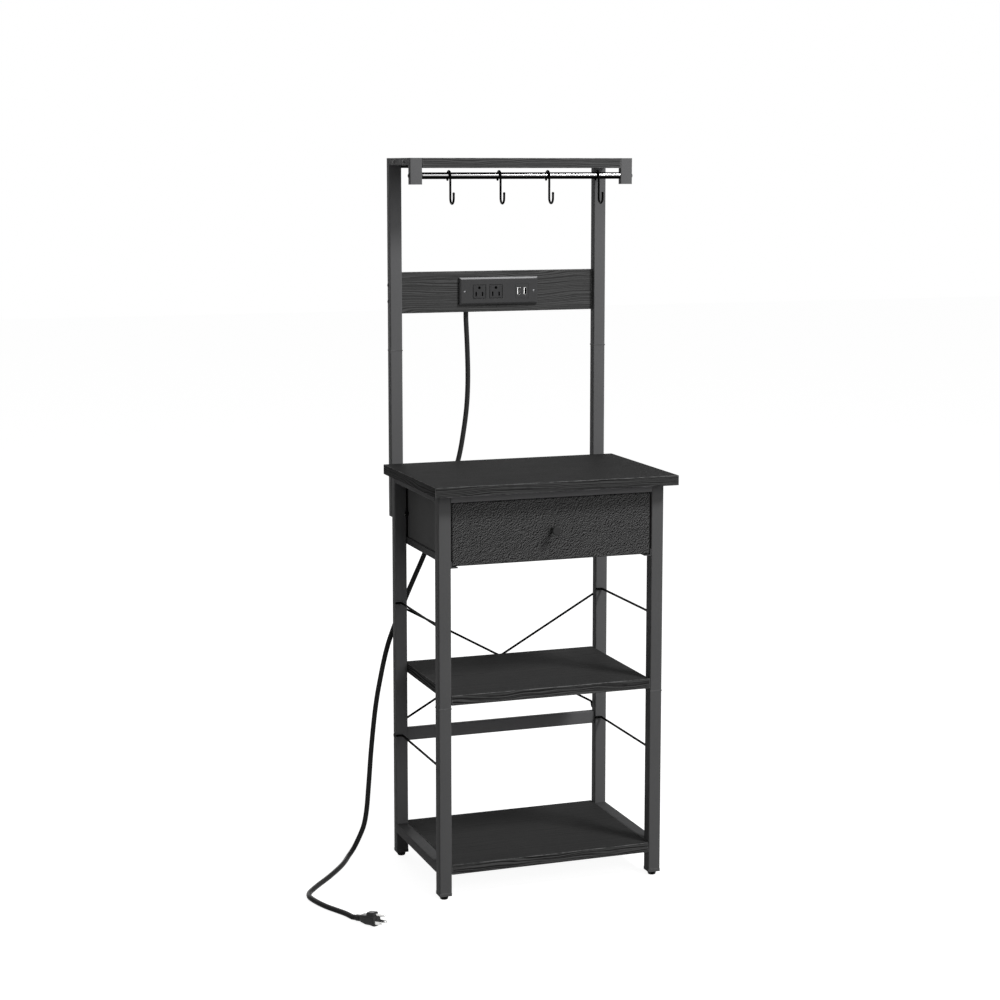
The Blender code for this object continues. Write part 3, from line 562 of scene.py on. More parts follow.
@dataclass(frozen=True)
class Finish:
    """What every finish shares: its name, colour, gloss and the way its material starts."""

    name: str
    colour: Colour
    roughness: float = 0.5
    specular: float = 0.3

    def material(self, box: Box, seed: float) -> bpy.types.Material:
        """Make this finish's material for one piece.

        Args:
            box: The piece's lowest and highest corners.
            seed: A number that shifts its pattern.

        Returns:
            The material.
        """
        material = bpy.data.materials.new(self.name)
        material.use_nodes = True
        wiring = Wiring(material.node_tree)
        shader = material.node_tree.nodes["Principled BSDF"].inputs
        shader["Specular IOR Level"].default_value = self.specular
        place = wiring.add("ShaderNodeTexCoord").outputs["Object"]
        facing = wiring.add("ShaderNodeNewGeometry").outputs["Normal"]
        self.wire(Surface(wiring, shader, place, facing, box, seed))
        return material

    def wire(self, on: Surface) -> None:
        """Wire the finish's own nodes; each finish has its own.

        Args:
            on: The piece's surface.
        """
        raise NotImplementedError


@dataclass(frozen=True)
class PowderCoat(Finish):
    """Baked powder on steel: a fine skin, and a painted highlight in a broken band along the edges."""

    grain: float = 900.0
    depth: float = 0.00012
    spread: float = 0.10
    # painted edge highlight: how much lighter the edges are made, and the width of its band
    painted_edge_highlight: float = 0.5
    painted_edge_highlight_width: float = 0.0016
    smear: float = 0.14

    def wire(self, on: Surface) -> None:
        """Wire the coat's skin, its painted edge highlight and its uneven gloss.

        Args:
            on: The piece's surface.
        """
        wiring = on.wiring
        coat = wiring.group(COAT.tree(), Place=on.place, Scale=self.grain, Spread=self.spread)
        painted_edge_highlight = on.painted_edge_highlight(self.painted_edge_highlight_width)
        handled = on.handled(self.roughness, self.smear)
        # the painted edge highlight lightens the colour near the edges
        tint_with_painted_edges = wiring.math("MULTIPLY_ADD", painted_edge_highlight, self.painted_edge_highlight, coat["Tint"])
        on.dye(self.colour, wiring.math("MULTIPLY_ADD", handled["Dust"], 0.35, tint_with_painted_edges))
        on.gloss(wiring.math("MULTIPLY_ADD", painted_edge_highlight, -0.08, handled["Roughness"]))
        on.bump(coat["Height"], self.depth)


@dataclass(frozen=True)
class Laminate(Finish):
    """Printed black wood film on board: grain lines, a painted highlight along the edges' arris and painted
    shade on faces that point up or down.
    """

    dark: float = 0.32
    light: float = 1.68
    # painted highlight on the arris, and painted shade on faces that point up or down
    painted_arris_lift: float = 2.6
    painted_top_shade: float = 0.80
    top_calm: float = 0.28
    painted_edge_highlight_width: float = 0.0020
    smear: float = 0.12
    depth: float = 0.00008

    def wire(self, on: Surface) -> None:
        """Wire the grain, the calmer up- and down-facing faces with their painted shade, and the painted
        arris highlight.

        Args:
            on: The piece's surface.
        """
        wiring = on.wiring
        grain = wiring.group(
            LAMINATE.tree(), Place=on.place, Facing=on.facing, Board=on.seed,
        )["Grain"]
        painted_edge_highlight = on.painted_edge_highlight(self.painted_edge_highlight_width)
        handled = on.handled(self.roughness, self.smear)
        level = wiring.math("ABSOLUTE", wiring.split(on.facing)[2])
        flat = wiring.span(level, 0.8, 0.98, 0.0, 1.0)
        # painted shade: faces that point up or down are made darker
        painted_top_shade_factor = wiring.blend(flat, 1.0, self.painted_top_shade)
        contrast = wiring.blend(flat, 1.0, self.top_calm)
        swing = wiring.math("SUBTRACT", wiring.blend(grain, self.dark, self.light), 1.0)
        tint = wiring.math("MULTIPLY_ADD", swing, contrast, 1.0)
        # painted highlight on the arris along the edges
        tint_with_painted_arris = wiring.math("MULTIPLY_ADD", painted_edge_highlight, self.painted_arris_lift, tint)
        dust_and_painted_light = wiring.math("MULTIPLY_ADD", handled["Dust"], 0.25, tint_with_painted_arris)
        on.dye(self.colour, wiring.math("MULTIPLY", dust_and_painted_light, painted_top_shade_factor))
        on.gloss(handled["Roughness"])
        on.bump(grain, self.depth)


@dataclass(frozen=True)
class LeatherFilm(Finish):
    """Leather-look covering over the drawer's front, with fine slanted wrinkles and painted light and shade
    on them.
    """

    cells: float = 490.0
    depth: float = 0.0007
    smear: float = 0.15

    def wire(self, on: Surface) -> None:
        """Wire the wrinkles, the painted highlight above and painted shade below each, and the uneven
        gloss.

        Args:
            on: The piece's surface.
        """
        wiring = on.wiring
        wrinkles = wiring.group(WRINKLES.tree(), Place=on.place, Cells=self.cells)
        coat = wiring.group(COAT.tree(), Place=on.place, Scale=300.0, Spread=0.15)
        handled = on.handled(self.roughness, self.smear)
        painted_relief_tone = wiring.blend(wrinkles["PaintedRelief"], -0.1, 2.4)
        on.dye(self.colour, wiring.math("MULTIPLY", painted_relief_tone, coat["Tint"]))
        on.gloss(wiring.math("MULTIPLY_ADD", wrinkles["PaintedRelief"], -0.12, handled["Roughness"]))
        on.bump(wrinkles["Height"], self.depth)


@dataclass(frozen=True)
class Moulded(Finish):
    """Moulded plastic or rubber: a fine spark-eroded skin and a light bloom."""

    grain: float = 1400.0
    depth: float = 0.00006
    spread: float = 0.16
    smear: float = 0.16
    # painted highlight: how much lighter slopes that face up are made
    painted_top_highlight: float = 0.0

    def wire(self, on: Surface) -> None:
        """Wire the moulded skin, its uneven gloss and any painted highlight on slopes that face up.

        Args:
            on: The piece's surface.
        """
        wiring = on.wiring
        coat = wiring.group(COAT.tree(), Place=on.place, Scale=self.grain, Spread=self.spread)
        handled = on.handled(self.roughness, self.smear)
        dust_and_painted_light = wiring.math("MULTIPLY_ADD", handled["Dust"], 0.3, coat["Tint"])
        if self.painted_top_highlight > 0.0:
            painted_slope_highlight = wiring.span(wiring.split(on.facing)[2], 0.25, 0.5, 0.0, self.painted_top_highlight)
            dust_and_painted_light = wiring.math("ADD", dust_and_painted_light, painted_slope_highlight)
        on.dye(self.colour, dust_and_painted_light)
        on.gloss(handled["Roughness"])
        on.bump(coat["Height"], self.depth)


@dataclass(frozen=True)
class Metal(Finish):
    """Bare or lacquered metal with fine drawing lines along one axis."""

    metallic: float = 1.0
    along: Point = (40.0, 2200.0, 2200.0)
    smear: float = 0.10
    depth: float = 0.00002

    def wire(self, on: Surface) -> None:
        """Wire the drawing lines and the uneven gloss.

        Args:
            on: The piece's surface.
        """
        wiring = on.wiring
        on.shader["Metallic"].default_value = self.metallic
        lines = wiring.noise(wiring.vector_math("MULTIPLY", on.place, self.along), 1.0, 2.0)
        handled = on.handled(self.roughness, self.smear)
        on.dye(self.colour, wiring.blend(lines, 0.82, 1.18))
        duller = wiring.math("MULTIPLY", lines, 0.06)
        on.gloss(wiring.math("ADD", handled["Roughness"], duller))
        on.bump(lines, self.depth)


@dataclass(frozen=True)
class PaintedReflectionRod(Finish):
    """Dark polished plating on a lying rod, with a painted reflection: a bright streak high on it and dark
    underneath, set by which way the surface faces.
    """

    painted_reflection_bands: tuple[tuple[float, float], ...] = (
        (0.0, 0.001), (0.36, 0.002), (0.43, 0.02), (0.49, 0.06), (0.56, 0.15), (0.62, 0.34),
        (0.67, 0.48), (0.71, 0.08), (0.74, 0.002), (1.0, 0.001),
    )
    along: Point = (25.0, 300.0, 300.0)
    smear: float = 0.10

    def wire(self, on: Surface) -> None:
        """Wire the painted reflection round the rod, its drawing lines and its uneven gloss.

        Args:
            on: The piece's surface.
        """
        wiring = on.wiring
        on.shader["Metallic"].default_value = 1.0
        on.shader["Specular Tint"].default_value = (0.0, 0.0, 0.0, 1.0)
        # painted reflection: the tone is read from how far the surface faces up
        height = wiring.math("MULTIPLY_ADD", wiring.split(on.facing)[2], 0.5, 0.5)
        painted_reflection_ramp = wiring.add("ShaderNodeValToRGB")
        marks = painted_reflection_ramp.color_ramp.elements
        while len(marks) < len(self.painted_reflection_bands):
            marks.new(0.5)
        for mark, (position, tone) in zip(marks, self.painted_reflection_bands):
            mark.position = position
            mark.color = (tone, tone, tone, 1.0)
        wiring.feed(painted_reflection_ramp.inputs[0], height)
        lines = wiring.noise(wiring.vector_math("MULTIPLY", on.place, self.along), 1.0)
        on.dye(painted_reflection_ramp.outputs[0], wiring.blend(lines, 0.94, 1.06))
        on.gloss(on.handled(self.roughness, self.smear)["Roughness"])


STEEL = PowderCoat("powder_coated_steel", (0.089, 0.089, 0.090), 0.50, 0.012)
# Lighter and darker copies of the same powder coat: painted light on the brackets, back and hutch posts and
# cross rails, painted shade on the side rails and runners
BRACKET_STEEL_PAINTED_LIGHT = PowderCoat("powder_coated_bracket_painted_lighter", (0.118, 0.118, 0.120), 0.50, 0.012)
BACK_STEEL_PAINTED_LIGHT = PowderCoat("powder_coated_back_painted_lighter", (0.114, 0.114, 0.116), 0.50, 0.012)
CROSS_STEEL_PAINTED_LIGHT = PowderCoat("powder_coated_cross_rail_painted_lighter", (0.124, 0.124, 0.126), 0.50, 0.012)
RAIL_STEEL_PAINTED_SHADE = PowderCoat("powder_coated_rail_painted_darker", (0.072, 0.072, 0.073), 0.52, 0.012)
WIRE = PowderCoat(
    "coated_wire", (0.004, 0.004, 0.004), 0.38, 0.004, grain=2200.0, depth=0.00001, painted_edge_highlight=0.0,
)
HOOK_WIRE = PowderCoat(
    "coated_hook", (0.003, 0.003, 0.003), 0.26, 0.008, grain=2200.0, depth=0.000004, painted_edge_highlight=0.0,
)
BOARD = Laminate("black_wood_laminate", (0.044, 0.044, 0.044), 0.62, 0.006)
# darker copy of the laminate for the worktop, with more painted shade on its top
WORKTOP_BOARD_PAINTED_SHADE = Laminate(
    "black_wood_laminate_worktop_painted_shade", (0.041, 0.041, 0.041), 0.62, 0.006, painted_top_shade=0.64,
)
# lighter copy with calmer grain for the top shelf and outlet board: painted light
HUTCH_BOARD_PAINTED_LIGHT = Laminate(
    "black_wood_laminate_hutch_painted_lighter", (0.060, 0.060, 0.060), 0.62, 0.006, dark=0.62, light=1.38,
)
LEATHER = LeatherFilm("pebbled_covering", (0.042, 0.042, 0.042), 0.42, 0.03)
PANEL = PowderCoat(
    "smooth_drawer_film", (0.120, 0.120, 0.120), 0.60, 0.008, grain=700.0, depth=0.00005, painted_edge_highlight=0.3,
)
ROD_PAINTED_REFLECTION = PaintedReflectionRod("dark_rod_painted_reflection", (1.0, 1.0, 1.0), 0.16, 0.5)
KNOB = PowderCoat(
    "black_knob", (0.036, 0.036, 0.036), 0.30, 0.06, grain=1800.0, depth=0.00002, painted_edge_highlight=0.0,
)
BRIGHT = Metal("bright_plated_metal", (0.62, 0.62, 0.61), 0.22, 0.5, along=(1500.0, 60.0, 1500.0))
BRASS = Metal("contact_brass", (0.20, 0.15, 0.07), 0.40, 0.5, along=(900.0, 900.0, 60.0))
SCREW = Metal("dull_screw", (0.15, 0.15, 0.155), 0.36, 0.5, along=(900.0, 900.0, 900.0))
BOLT = PowderCoat(
    "black_bolt", (0.012, 0.012, 0.012), 0.34, 0.12, grain=1800.0, depth=0.00004, painted_edge_highlight=0.0,
)
# the bezel's copy has a painted highlight on its up-facing rim; the ports' copy has none
PLATE_PLASTIC_PAINTED_HIGHLIGHT = Moulded("bezel_plastic_painted_highlight", (0.056, 0.056, 0.057), 0.30, 0.02, depth=0.00002, painted_top_highlight=5.0)
PORT_PLASTIC = Moulded("port_plastic", (0.056, 0.056, 0.057), 0.30, 0.02, depth=0.00002)
SOCKET_PLASTIC = Moulded("socket_plastic", (0.042, 0.042, 0.043), 0.30, 0.06)
HOUSING_PLASTIC = Moulded("housing_plastic", (0.030, 0.030, 0.031), 0.42, 0.12, depth=0.00010)
# near-black: the grooves' and the charging tongues' own colour, and painted shade inside the socket slots
# and in the strips beside the drawer's back
NEAR_BLACK_AND_PAINTED_SHADE = Moulded("near_black_and_painted_shade", (0.002, 0.002, 0.002), 0.80, 0.0)
CORD_RUBBER = Moulded("cord_jacket", (0.034, 0.034, 0.034), 0.30, 0.02, spread=0.10)
GLIDE_RUBBER = Moulded("glide_rubber", (0.004, 0.004, 0.004), 0.55, 0.04)
PLUG_RUBBER = Moulded("plug_rubber", (0.034, 0.034, 0.034), 0.30, 0.12)


# Mesh helpers


def clear_scene() -> None:
    """Remove every object that the file starts with."""
    for item in list(bpy.data.objects):
        bpy.data.objects.remove(item, do_unlink=True)


def extent(item: bpy.types.Object) -> Box:
    """Give the lowest and highest corners of an object's own mesh or curve."""
    corners = [Vector(corner) for corner in item.bound_box]
    low = Vector(min(corner[axis] for corner in corners) for axis in range(3))
    high = Vector(max(corner[axis] for corner in corners) for axis in range(3))
    return low, high


def turn_to(direction: Vector, place: Sequence[float]) -> Matrix:
    """Give the matrix that stands a shape made along +Z at a place, along a direction.

    Args:
        direction: Where its +Z goes.
        place: Where its origin goes.

    Returns:
        The matrix.
    """
    spin = direction.normalized().to_track_quat("Z", "Y").to_matrix().to_4x4()
    return Matrix.Translation(Vector(place)) @ spin


def block(low: Sequence[float], high: Sequence[float], edge: float, segments: int = 3) -> bmesh.types.BMesh:
    """Make a box between two corners, its edges rounded.

    Args:
        low: The low corner.
        high: The high corner.
        edge: The edges' radius.
        segments: How many steps round an edge.

    Returns:
        The shape.
    """
    low, high = Vector(low), Vector(high)
    shape = bmesh.new()
    bmesh.ops.create_cube(shape, size=1.0)
    bmesh.ops.scale(shape, vec=high - low, verts=shape.verts)
    bmesh.ops.translate(shape, vec=(low + high) / 2, verts=shape.verts)
    if edge > 0.0:
        bmesh.ops.bevel(
            shape, geom=shape.edges[:], offset=edge, segments=segments, profile=0.5,
            affect="EDGES",
        )
    return shape


def skin_rings(shape: bmesh.types.BMesh, rings: Sequence[Sequence[Vector]], closed: bool) -> None:
    """Join rings of points with faces, and close the two ends.

    Args:
        shape: What the faces go into.
        rings: The rings, all of one count; a ring of one point is a pole.
        closed: Whether the first and last rings are filled.
    """
    made = [[shape.verts.new(point) for point in ring] for ring in rings]
    for one, two in zip(made, made[1:]):
        count = max(len(one), len(two))
        for step in range(count):
            after = (step + 1) % count
            if len(one) == 1:
                shape.faces.new((one[0], two[after], two[step]))
            elif len(two) == 1:
                shape.faces.new((one[step], one[after], two[0]))
            else:
                shape.faces.new((one[step], one[after], two[after], two[step]))
    if closed:
        for ring in (made[0], made[-1]):
            if len(ring) > 2:
                shape.faces.new(ring)
    bmesh.ops.recalc_face_normals(shape, faces=shape.faces)


def lathe(
    profile: Sequence[tuple[float, float]], direction: Vector, place: Sequence[float], sides: int = 40,
) -> bmesh.types.BMesh:
    """Turn a profile about an axis.

    Args:
        profile: (radius, height) points; a radius of 0 is a pole.
        direction: Where its height goes.
        place: Where height 0 lies.
        sides: How many steps round.

    Returns:
        The shape.
    """
    shape = bmesh.new()
    rings = []
    for radius, height in profile:
        if radius == 0.0:
            rings.append([Vector((0.0, 0.0, height))])
            continue
        turns = (2 * math.pi * step / sides for step in range(sides))
        rings.append([
            Vector((radius * math.cos(turn), radius * math.sin(turn), height)) for turn in turns
        ])
    skin_rings(shape, rings, closed=True)
    bmesh.ops.transform(shape, matrix=turn_to(direction, place), verts=shape.verts)
    return shape


def sweep(points: Sequence[Vector], radii: Sequence[float], sides: int = 16) -> bmesh.types.BMesh:
    """Run a round section along a line, with a dome at each end.

    Args:
        points: The line.
        radii: The section's radius at each point.
        sides: How many steps round.

    Returns:
        The shape.
    """
    line = [Vector(point) for point in points]
    heads = [(two - one).normalized() for one, two in zip(line, line[1:])]
    tangents = [heads[0]]
    tangents += [(one + two).normalized() for one, two in zip(heads, heads[1:])]
    tangents.append(heads[-1])
    up = tangents[0].orthogonal().normalized()
    rings = []
    for point, tangent, radius in zip(line, tangents, radii):
        up = (up - tangent * up.dot(tangent)).normalized()
        aside = tangent.cross(up)
        rings.append((point, up.copy(), aside, radius))
    dome = [(math.sin(turn), math.cos(turn)) for turn in (0.0, 0.5, 1.0, 1.35)]
    sections = []
    for share, ahead in dome:
        point, one, two, radius = rings[0]
        sections.append((point - tangents[0] * radius * ahead, one, two, radius * share))
    sections += rings
    for share, ahead in reversed(dome):
        point, one, two, radius = rings[-1]
        sections.append((point + tangents[-1] * radius * ahead, one, two, radius * share))
    shape = bmesh.new()
    loops = []
    for point, one, two, radius in sections:
        if radius < 1e-7:
            loops.append([point])
            continue
        turns = (2 * math.pi * step / sides for step in range(sides))
        loops.append([
            point + (one * math.cos(turn) + two * math.sin(turn)) * radius for turn in turns
        ])
    skin_rings(shape, loops, closed=False)
    return shape


def merge(shapes: Iterable[bmesh.types.BMesh]) -> bmesh.types.BMesh:
    """Put several shapes into one.

    Args:
        shapes: The shapes, which are used up.

    Returns:
        The one shape.
    """
    whole = bmesh.new()
    for shape in shapes:
        mesh = bpy.data.meshes.new("part")
        shape.to_mesh(mesh)
        shape.free()
        whole.from_mesh(mesh)
        bpy.data.meshes.remove(mesh)
    return whole


def carve(
    shape: bmesh.types.BMesh, tools: Iterable[bmesh.types.BMesh], operation: str = "DIFFERENCE",
) -> bmesh.types.BMesh:
    """Cut tools out of a shape, or join them to it.

    Args:
        shape: The shape, which is used up.
        tools: The tools, which are used up.
        operation: The Boolean modifier's operation.

    Returns:
        The result.
    """
    stock = loose_object("stock", shape)
    helpers = [loose_object("tool", tool) for tool in tools]
    for helper in helpers:
        boolean = stock.modifiers.new("cut", "BOOLEAN")
        boolean.operation = operation
        boolean.solver = "EXACT"
        boolean.object = helper
    graph = bpy.context.evaluated_depsgraph_get()
    cut = bpy.data.meshes.new_from_object(stock.evaluated_get(graph))
    result = bmesh.new()
    result.from_mesh(cut)
    bmesh.ops.remove_doubles(result, verts=result.verts, dist=WELD_DISTANCE / 4)
    for item in (stock, *helpers):
        mesh = item.data
        bpy.data.objects.remove(item, do_unlink=True)
        bpy.data.meshes.remove(mesh)
    bpy.data.meshes.remove(cut)
    return result


def loose_object(name: str, shape: bmesh.types.BMesh) -> bpy.types.Object:
    """Turn a shape into an object in the scene, using the shape up."""
    mesh = bpy.data.meshes.new(name)
    shape.to_mesh(mesh)
    shape.free()
    item = bpy.data.objects.new(name, mesh)
    bpy.context.scene.collection.objects.link(item)
    return item


def smooth_group() -> bpy.types.NodeTree:
    """Give the modifier tree that joins a CAD mesh's split corners and smooths its rounds.

    Returns:
        The geometry node tree, made on its first use.
    """
    name = "smooth_rounds"
    made = bpy.data.node_groups.get(name)
    if made is not None:
        return made
    made = bpy.data.node_groups.new(name, "GeometryNodeTree")
    for in_out in ("INPUT", "OUTPUT"):
        made.interface.new_socket(
            name="Geometry", in_out=in_out, socket_type="NodeSocketGeometry",
        )
    wiring = Wiring(made)
    entry = wiring.add("NodeGroupInput")
    weld = wiring.add("GeometryNodeMergeByDistance")
    wiring.feed(weld.inputs["Geometry"], entry.outputs[0])
    wiring.feed(weld.inputs["Distance"], WELD_DISTANCE)
    faces = wiring.add("GeometryNodeSetShadeSmooth", domain="FACE")
    wiring.feed(faces.inputs["Geometry"], weld.outputs[0])
    angle = wiring.add("GeometryNodeInputMeshEdgeAngle")
    sharp = wiring.add("FunctionNodeCompare", operation="GREATER_THAN")
    wiring.feed(sharp.inputs[0], angle.outputs[0])
    wiring.feed(sharp.inputs[1], SMOOTH_ANGLE)
    normals = wiring.add("GeometryNodeSetMeshNormal", mode="SHARPNESS")
    wiring.feed(normals.inputs["Mesh"], faces.outputs[0])
    wiring.feed(normals.inputs["Remove Custom"], True)
    wiring.feed(normals.inputs["Edge Sharpness"], sharp.outputs[0])
    leave = wiring.add("NodeGroupOutput")
    wiring.feed(leave.inputs[0], normals.outputs[0])
    return made


@dataclass
class Fitter:
    """Puts finished pieces on the rack, and dresses the CAD nodes that stay."""

    nodes: dict[str, bpy.types.Object]
    count: int = 0

    def seed(self) -> float:
        """Give the next piece's own pattern number."""
        self.count += 1
        return self.count * 1.618

    def own_normals(self, item: bpy.types.Object) -> None:
        """Keep an object's flat faces flat and its rounds smooth."""
        weighted = item.modifiers.new("flat_faces", "WEIGHTED_NORMAL")
        weighted.keep_sharp = True
        weighted.weight = 60

    def piece(
        self,
        name: str,
        shape: bmesh.types.BMesh,
        finish: Finish,
        body: Body,
        stands_for: Sequence[str] = (),
    ) -> bpy.types.Object:
        """Add a piece.

        Args:
            name: Its name.
            shape: Its shape, which is used up.
            finish: Its finish.
            body: The body it rides on.
            stands_for: The CAD nodes it replaces.

        Returns:
            The object.
        """
        item = loose_object(name, shape)
        item.data.shade_smooth()
        item.data.set_sharp_from_angle(angle=SMOOTH_ANGLE)
        self.own_normals(item)
        return self.settle(item, finish, body, stands_for)

    def settle(
        self,
        item: bpy.types.Object,
        finish: Finish,
        body: Body,
        stands_for: Sequence[str] = (),
    ) -> bpy.types.Object:
        """Give an object its finish and body, and hide the CAD nodes it replaces.

        Args:
            item: The object.
            finish: Its finish.
            body: The body it rides on.
            stands_for: The CAD nodes it replaces.

        Returns:
            The object.
        """
        item.data.materials.clear()
        item.data.materials.append(finish.material(extent(item), self.seed()))
        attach(item, body.value)
        if stands_for:
            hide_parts(*stands_for)
        return item

    def keep(self, name: str, finish: Finish) -> bpy.types.Object:
        """Dress a CAD node that stays, through a modifier and its material slots.

        Args:
            name: The node.
            finish: Its finish.

        Returns:
            The node's object.
        """
        item = self.nodes[name]
        smooth = item.modifiers.new("smooth_rounds", "NODES")
        smooth.node_group = smooth_group()
        self.own_normals(item)
        material = finish.material(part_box(name), self.seed())
        for slot in item.material_slots:
            slot.material = material
        return item


# Camera and studio


@dataclass(frozen=True)
class PhotoCamera:
    """The photograph's view: from the front left, a little above the worktop."""

    place: Point = (-1.3295, -3.5884, 1.2912)
    yaw: float = math.radians(-19.640)
    pitch: float = math.radians(7.588)
    lens: float = 76.22
    shift: float = -0.05

    def build(self) -> None:
        """Make the camera and look through it."""
        data = bpy.data.cameras.new("photo_camera")
        data.lens = self.lens
        data.sensor_width = 36.0
        data.shift_y = self.shift
        data.clip_end = 60.0
        camera = bpy.data.objects.new("photo_camera", data)
        camera.location = self.place
        camera.rotation_euler = (math.pi / 2 - self.pitch, 0.0, self.yaw)
        bpy.context.scene.collection.objects.link(camera)
        bpy.context.scene.camera = camera


@dataclass(frozen=True)
class SoftBox:
    """One soft lamp that looks at the rack."""

    name: str
    place: Point
    size: tuple[float, float]
    power: float
    aim: Point = (0.0, 0.0, 0.65)

    def build(self) -> None:
        """Make the lamp."""
        data = bpy.data.lights.new(self.name, "AREA")
        data.shape = "RECTANGLE"
        data.size, data.size_y = self.size
        data.energy = self.power
        lamp = bpy.data.objects.new(self.name, data)
        lamp.location = self.place
        lamp.visible_camera = False
        aim = Vector(self.aim) - Vector(self.place)
        lamp.rotation_euler = aim.to_track_quat("-Z", "Y").to_euler()
        bpy.context.scene.collection.objects.link(lamp)


@dataclass(frozen=True)
class Studio:
    """A pale floor, a white surround and soft lamps."""

    floor_side: float = 30.0
    floor_glow: float = 0.92
    floor_colour: Colour = (0.42, 0.42, 0.42)
    surround: float = 0.16
    lamps: tuple[SoftBox, ...] = (
        SoftBox("key_lamp", (1.45, -2.00, 3.10), (0.7, 0.7), 82.0, (0.0, 0.0, 1.1)),
        SoftBox("front_lamp", (0.8, -3.9, 1.9), (2.8, 2.4), 65.0, (0.0, 0.0, 1.0)),
        SoftBox("back_lamp", (-0.6, 4.0, 1.5), (3.0, 2.4), 40.0, (0.0, 0.0, 0.7)),
    )

    def build(self) -> None:
        """Make the floor, the surround and the lamps, and set the view transform."""
        bpy.context.scene.view_settings.view_transform = "Standard"
        self.build_floor()
        self.build_surround()
        for lamp in self.lamps:
            lamp.build()

    def seen_rays(self, wiring: Wiring) -> bpy.types.NodeSocket:
        """Give 1 where the camera, a reflection or clear material looks.

        Args:
            wiring: The tree's wiring.

        Returns:
            The mask.
        """
        path = wiring.add("ShaderNodeLightPath").outputs
        either = wiring.math("MAXIMUM", path["Is Camera Ray"], path["Is Glossy Ray"])
        return wiring.math("MAXIMUM", either, path["Is Transmission Ray"])

    def build_floor(self) -> None:
        """Make the floor, which keeps the rack's shadow."""
        shape = bmesh.new()
        bmesh.ops.create_grid(shape, x_segments=8, y_segments=8, size=self.floor_side / 2)
        floor = loose_object("studio_floor", shape)
        material = bpy.data.materials.new("pale_floor")
        material.use_nodes = True
        wiring = Wiring(material.node_tree)
        shader = material.node_tree.nodes["Principled BSDF"].inputs
        place = wiring.add("ShaderNodeTexCoord").outputs["Object"]
        cloud = wiring.span(wiring.noise(place, 3.0, 2.0), 0.3, 0.7, 0.985, 1.0)
        tone = wiring.vector_math("MULTIPLY", self.floor_colour, wiring.join(cloud, cloud, cloud))
        wiring.feed(shader["Base Color"], tone)
        shader["Roughness"].default_value = 0.95
        shader["Specular IOR Level"].default_value = 0.0
        shader["Emission Color"].default_value = (1.0, 1.0, 1.0, 1.0)
        glow = wiring.math("MULTIPLY", self.seen_rays(wiring), self.floor_glow)
        wiring.feed(shader["Emission Strength"], glow)
        floor.data.materials.append(material)

    def build_surround(self) -> None:
        """Make the world: white where it is seen, plain soft light elsewhere."""
        world = bpy.data.worlds.new("studio_surround")
        bpy.context.scene.world = world
        world.use_nodes = True
        wiring = Wiring(world.node_tree)
        background = world.node_tree.nodes["Background"]
        background.inputs["Color"].default_value = (1.0, 1.0, 1.0, 1.0)
        strength = wiring.blend(self.seen_rays(wiring), self.surround, 1.0)
        wiring.feed(background.inputs["Strength"], strength)


# The cord and its plug


